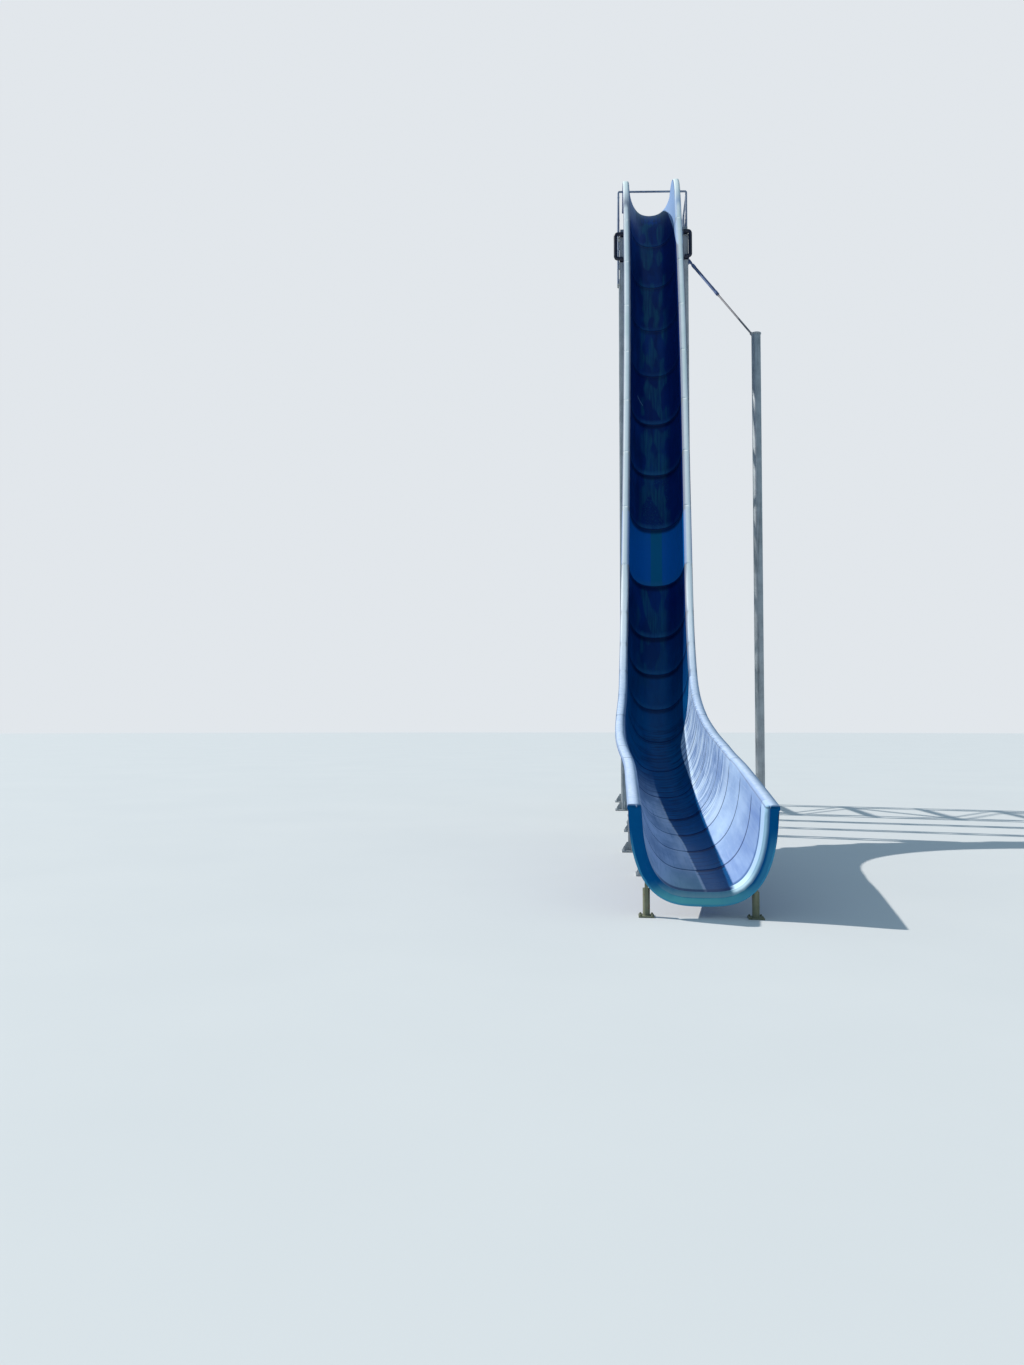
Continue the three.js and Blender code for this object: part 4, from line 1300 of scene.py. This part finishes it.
def grating(low, high, name):
    (x0, y0), (x1, y1) = low, high
    parts = [plate((x0, y0, DECK_LOW), (x0 + FLAT, y1, DECK_TOP), 0.001),
             plate((x1 - FLAT, y0, DECK_LOW), (x1, y1, DECK_TOP), 0.001),
             plate((x0 + FLAT, y0, DECK_LOW), (x1 - FLAT, y0 + FLAT, DECK_TOP), 0.001),
             plate((x0 + FLAT, y1 - FLAT, DECK_LOW), (x1 - FLAT, y1, DECK_TOP), 0.001)]
    bearers, rods = max(2, round((y1 - y0) / BEARER_PITCH)), max(2, round((x1 - x0) / ROD_PITCH))
    bearer = plate((x0 + FLAT, y0 + FLAT, DECK_TOP - 0.038),
                   (x1 - FLAT, y0 + 0.0095, DECK_TOP - 0.001), 0.0005)
    parts.append(repeated(bearer, bearers, (0, (y1 - y0 - FLAT) / bearers, 0)))
    rod = plate((x0 + 0.03, y0 + FLAT, DECK_TOP - 0.009),
                (x0 + 0.036, y1 - FLAT, DECK_TOP - 0.002), 0.001)
    parts.append(repeated(rod, rods, ((x1 - x0 - 0.066) / (rods - 1), 0, 0)))
    return finish(joined(parts), name, ["platform_deck"], grating_steel, 30)


edge_left, edge_right = TOWER_X - DECK_HALF, TOWER_X + DECK_HALF
front_edge, rear_edge, tub_edge = FRONT_Y - 0.090, REAR_Y + 0.150, TUB_REAR + 0.0153
grating((edge_left, front_edge), (-NOTCH, tub_edge - 0.001), "left_grating")
grating((NOTCH, front_edge), (edge_right, tub_edge - 0.001), "right_grating")
panel_length = (rear_edge - tub_edge) / 2
for k, word in enumerate(("middle", "rear")):
    panel_front = tub_edge + k * panel_length
    panel_rear = tub_edge + (k + 1) * panel_length - 0.001
    panel = grating((edge_left, panel_front), (edge_right, panel_rear), word + "_grating")
print(panel.name, len(panel.data.polygons), "faces")

# %% [markdown]
# ## The stay
# A stay with a long turnbuckle holds the front right column. It is an open turnbuckle: two heavy end nuts,
# one with a left-hand thread, joined by two side bars, so that turning it pulls both threaded ends in. A
# fork and a pin hold each end. Its parts are laid along the stay by their share of its length.

# %% Parts along the stay
STAY_HEAD, STAY_FOOT = Vector((0.7903, 11.680, 11.330)), Vector((1.900, 9.900, 8.950))
STAY_RUN = (STAY_FOOT - STAY_HEAD).normalized()
STAY_SIDE = STAY_RUN.cross(Vector((0, 0, 1))).normalized()
STAY_TOP = STAY_SIDE.cross(STAY_RUN)


def on_stay(share, side=0.0, top=0.0):
    """Point at a share of the length of the stay, moved square to it."""
    return STAY_HEAD.lerp(STAY_FOOT, share) + STAY_SIDE * side + STAY_TOP * top


def turned_bar(a, b, diameter, sides=24, turned=0.08):
    """A round or six-sided bar between two points, with its ends turned off."""
    a, b = Vector(a) + SHIFT, Vector(b) + SHIFT
    bar = cylinder(sides, diameter / 2, (b - a).length)
    with editing(bar, "EDGE"):
        pick(bar, "edges", lambda edge: turns_by(edge, 1.4))
        bpy.ops.mesh.bevel(offset=diameter * turned, segments=2)
    bar.data.transform(facing((a + b) / 2, b - a))
    return bar


def thread(a, b, diameter, half_pitch=0.0035):
    """A threaded stud: a tube whose radius falls and rises again at every half pitch."""
    a, b = Vector(a), Vector(b)
    count = int((b - a).length / half_pitch)
    return tube([a.lerp(b, k / count) for k in range(count + 1)], diameter, corner=0, ripple=-0.10)


def flat_bar(a, b, wide, thick, round_off=0.010):
    """A flat bar between two points of the stay, on edge, with its corners rounded."""
    a, b = Vector(a) + SHIFT, Vector(b) + SHIFT
    bar = box((thick, wide, (b - a).length))
    with editing(bar, "EDGE"):
        pick(bar, "edges", lambda edge: runs_along(edge, 0))
        bpy.ops.mesh.bevel(offset=round_off, segments=4)
        pick(bar, "edges", lambda edge: turns_by(edge, 1.2))
        bpy.ops.mesh.bevel(offset=0.0012, segments=1)
    turn = Matrix((STAY_SIDE, STAY_TOP, STAY_RUN)).transposed().to_4x4()
    bar.data.transform(Matrix.Translation((a + b) / 2) @ turn)
    return bar


def fork(near, far, pin, eye):
    """Two cheeks with a pin and its nuts, and the boss that joins them."""
    cheeks = [flat_bar(on_stay(near, side), on_stay(far, side), 0.044, 0.010) for side in (-0.016, 0.016)]
    boss = turned_bar(on_stay(far - eye * 0.3), on_stay(far + eye), 0.044)
    parts = cheeks + [boss, turned_bar(on_stay(pin, -0.030), on_stay(pin, 0.030), 0.020, 16)]
    return parts + [turned_bar(on_stay(pin, side * 0.022), on_stay(pin, side * 0.034), 0.036, 6)
                    for side in (-1, 1)]


print("stay length", round((STAY_FOOT - STAY_HEAD).length, 3), "m")

# %% [markdown]
# The turnbuckle hangs from a bolted plate on the column. Its two end nuts are wide hexagons, and a thinner
# nut locks each of them on its stud.

# %% The turnbuckle
STUD, LOCK_NUT, END_NUT = 0.030, 0.052, 0.074
column_face = STAY_HEAD.x + 0.0003
outer_face = column_face + 0.014
spots = [(outer_face, FRONT_Y + a, 11.320 + b) for a in (-0.036, 0.036) for b in (-0.058, 0.058)]
parts = [plate((column_face, 11.630, 11.240), (outer_face, 11.730, 11.400), 0.010),
         *bolts_on(spots, (1, 0, 0), small_bolt),
         flat_bar(on_stay(0.007), on_stay(0.036), 0.070, 0.014, 0.030),
         *fork(0.020, 0.048, 0.028, 0.010),
         thread(on_stay(0.056), on_stay(0.190), STUD),
         turned_bar(on_stay(0.066), on_stay(0.074), LOCK_NUT, 6),
         turned_bar(on_stay(0.075), on_stay(0.110), END_NUT, 6, 0.10),
         turned_bar(on_stay(0.425), on_stay(0.460), END_NUT, 6, 0.10),
         *[flat_bar(on_stay(0.100, off), on_stay(0.435, off), 0.034, 0.013) for off in (-0.0265, 0.0265)],
         thread(on_stay(0.330), on_stay(0.480), STUD),
         turned_bar(on_stay(0.4605), on_stay(0.469), LOCK_NUT, 6)]
buckle = finish(joined(parts), "stay_turnbuckle_open", ["stay_turnbuckle"], stay_paint, 35)
print("turnbuckle", len(buckle.data.polygons), "faces")

# %% [markdown]
# The rod is plain round steel and ends in a second fork, at a plate on a thick post. The post has a cap
# against the rain and a square foot plate, and it runs down to the ground as the columns do.

# %% The rod and its post
parts = [turned_bar(on_stay(0.4755), on_stay(0.918), 0.036, 24, 0.2), *fork(0.978, 0.934, 0.972, -0.008),
         turned_bar(on_stay(0.470), on_stay(0.4752), 0.050, 6)]
rod = finish(joined(parts), "stay_rod_round", ["stay_rod"], rod_steel, 35)

POST_D, POST_TOP, CAP_D, CAP_THICK, FOOT = 0.168, 9.040, 0.192, 0.022, 0.020
HALF_FOOT = Vector((0.24, 0.24, 0))


def on_post(z):
    """Point on the axis of the post, z metres up."""
    return Vector((STAY_FOOT.x, STAY_FOOT.y, z))


parts = [turned_bar(on_post(FOOT), on_post(POST_TOP), POST_D, 48, 0.01),
         turned_bar(on_post(POST_TOP), on_post(POST_TOP + CAP_THICK), CAP_D, 48, 0.03),
         weld(on_post(POST_TOP - 0.001), (0, 0, 1), POST_D / 2 + 0.001, 0.010),
         flat_bar(on_stay(0.962), on_stay(0.995), 0.075, 0.016, 0.030),
         plate(on_post(0) - HALF_FOOT, on_post(FOOT) + HALF_FOOT, 0.020),
         weld(on_post(FOOT + 0.001), (0, 0, 1), POST_D / 2 + 0.002, 0.012)]
post = finish(joined(parts), "stay_post_tube", ["stay_post"], galvanised, 35)
print("rod", len(rod.data.polygons), "faces, post", len(post.data.polygons))

# %% [markdown]
# ## Feet
# Every leg stands on a base plate with a stiffener on each side and an anchor bolt at each corner. One
# stiffener is a thin block with its outer corner cut off by bisect, and it is turned about the leg. The
# exit posts are light: they have small plates, small bolts and no stiffeners.

# %% Stiffeners and anchors


def stiffener(wide, tall, thick=0.010):
    rib = box((wide, thick, tall), (wide / 2, 0, tall / 2))
    with editing(rib):
        bpy.ops.mesh.select_all(action="SELECT")
        bpy.ops.mesh.bisect(plane_co=(wide, 0, tall * 0.22), plane_no=(tall * 0.78, 0, wide * 0.72),
                            use_fill=True, clear_outer=True)
    with editing(rib, "EDGE"):
        pick(rib, "edges", lambda edge: turns_by(edge, 0.6))
        bpy.ops.mesh.bevel(offset=0.001, segments=1)
    return rib


def corners(reach):
    return [(a, b) for a in (-reach, reach) for b in (-reach, reach)]


def feet(spots, leg, wide, tall, anchors, base, name, paint=galvanised,
         turns=(0, 90, 180, 270), pattern=big_bolt):
    """Stiffeners and anchor bolts round the legs at the given places on the ground."""
    rib = stiffener(wide, tall)
    parts = []
    for spot in spots:
        for turn in turns:
            away = Matrix.Rotation(math.radians(turn), 4, "Z") @ Matrix.Translation((leg, 0, 0))
            parts.append(placed(rib, Matrix.Translation((spot.x, spot.y, base)) @ away))
        for a, b in anchors:
            parts.append(placed(pattern, Matrix.Translation((spot.x + a, spot.y + b, base))))
    bpy.data.objects.remove(rib)
    return finish(joined(parts), name, [], paint, 35)


print("one stiffener is turned to every side of a leg")

# %% [markdown]
# The same call serves the four columns, the post of the stay, the two legs of every frame under the chute
# and the exit posts. Only the places and sizes differ.

# %% Feet of all the legs
COLUMN_X = 0.65
columns = [Vector((TOWER_X + a, y, 0)) + SHIFT for a in (-COLUMN_X, COLUMN_X) for y in (FRONT_Y, REAR_Y)]
ribs = feet(columns, 0.055, 0.105, 0.160, corners(0.145), FOOT, "column_foot_irons")
feet([on_post(0) + SHIFT], POST_D / 2 - 0.002, 0.125, 0.200, corners(0.185), FOOT, "stay_post_foot_irons")
frames = {"runout_frame": joints[3], "curve_frame": joints[6], "low_frame": joints[11],
          "middle_frame": joints[14], "high_frame": joints[17]}
for name, s in frames.items():
    legs = [on_chute(s, side * 0.395, -0.1103) for side in (-1, 1)]
    feet(legs, 0.045, 0.072, 0.110, corners(0.098), FOOT, name + "_foot_irons")
posts = [Vector((x, 0.047, 0)) + SHIFT for x in (-0.505, 0.468)]
feet(posts, 0, 0.05, 0.05, corners(0.052), 0.012, "exit_post_anchors", olive_posts,
     turns=(), pattern=small_bolt)
print("feet", len(ribs.data.polygons), "faces on the columns")

# %% [markdown]
# ## Node plates
# The bars of the tower's lattices meet the columns at plates: a tall one where two diagonals arrive and a
# short one at the other end. Each kind is modelled once, lying in its own x-z plane, and copied to every
# level. A bolt goes into each bar that the plate holds.

# %% Plates where the bars meet the columns
LEVELS = [0.5 + 1.4 * k for k in range(9)]
SIDE_REACH, CROSS_REACH = REAR_Y - FRONT_Y - 2 * COLUMN_FACE, 2 * COLUMN_X - 2 * COLUMN_FACE


def node_plate(reach, tall):
    """Plate for the end of a level bar; a tall one also holds the diagonals of a lattice of that reach."""
    high = 0.135 if tall else 0.045
    shape = plate(Vector((0, -0.008, -high)) - SHIFT, Vector((0.165, 0, high)) - SHIFT, 0.012)
    spots = [(0.050, 0), (0.130, 0)]
    if tall:
        run = Vector((reach - 0.060, LEVELS[1] - LEVELS[0])).normalized() * 0.105
        spots += [(0.030 + run.x, run.y), (0.030 + run.x, -run.y)]
    return joined([shape] + [placed(small_bolt, facing((x, -0.008, z), (0, -1, 0))) for x, z in spots])


def lattice_plates(start, along, out, reach, first_up, name):
    """Node plates up one side of the tower, tall and short in turn on each of its two columns."""
    tall, short = node_plate(reach, True), node_plate(reach, False)
    start, along, out = Vector(start) + SHIFT, Vector(along), Vector(out)
    parts = []
    for k, z in enumerate(LEVELS):
        near_is_tall = (k % 2 == 0) == first_up
        for far in (False, True):
            pattern = tall if near_is_tall != far else short
            way = -along if far else along
            turn = Matrix((way, -out, Vector((0, 0, 1)))).transposed().to_4x4()
            place = start + along * (reach if far else 0) + out * 0.0303 + Vector((0, 0, z))
            parts.append(placed(pattern, Matrix.Translation(place) @ turn))
    for pattern in (tall, short):
        bpy.data.objects.remove(pattern)
    piece = joined(parts)
    with editing(piece):
        bpy.ops.mesh.select_all(action="SELECT")
        bpy.ops.mesh.normals_make_consistent(inside=False)
    return finish(piece, name, [], galvanised, 35)


left_x, right_x = TOWER_X - COLUMN_X, TOWER_X + COLUMN_X
side_y, cross_x = FRONT_Y + COLUMN_FACE, left_x + COLUMN_FACE
lattice_plates((left_x, side_y, 0), (0, 1, 0), (-1, 0, 0), SIDE_REACH, True, "left_side_node_plates")
lattice_plates((right_x, side_y, 0), (0, 1, 0), (1, 0, 0), SIDE_REACH, False, "right_side_node_plates")
lattice_plates((cross_x, FRONT_Y, 0), (1, 0, 0), (0, -1, 0), CROSS_REACH, False, "front_node_plates")
rear = lattice_plates((cross_x, REAR_Y, 0), (1, 0, 0), (0, 1, 0), CROSS_REACH, True, "rear_node_plates")
print("node plates", len(rear.data.polygons), "faces on the rear")

# %% [markdown]
# The head plate of every column is bolted up to the beams of the platform, beside the web of the beam, with
# a bolt head below the plate and a nut above it. With these the patterns have done their work and go.

# %% Bolts of the column heads
HEAD_TOP, HEAD_LOW = 11.8294, 11.8134
spots = [spot + Vector((a * (1 if spot.x > TOWER_X + SHIFT.x else -1), b, 0)) - SHIFT
         for spot in columns for a in (-0.0755, 0.066) for b in (-0.072, 0.072)]
heads = bolts_on([(s.x, s.y, HEAD_LOW) for s in spots], (0, 0, -1), small_bolt)
nuts = bolts_on([(s.x, s.y, HEAD_TOP) for s in spots], (0, 0, 1), small_bolt)
bolted = finish(joined(heads + nuts), "column_head_bolts", [], bolt_zinc, 35)
for pattern in (small_bolt, big_bolt):
    bpy.data.objects.remove(pattern)
print(len(spots), "bolts,", len(bolted.data.polygons), "faces")
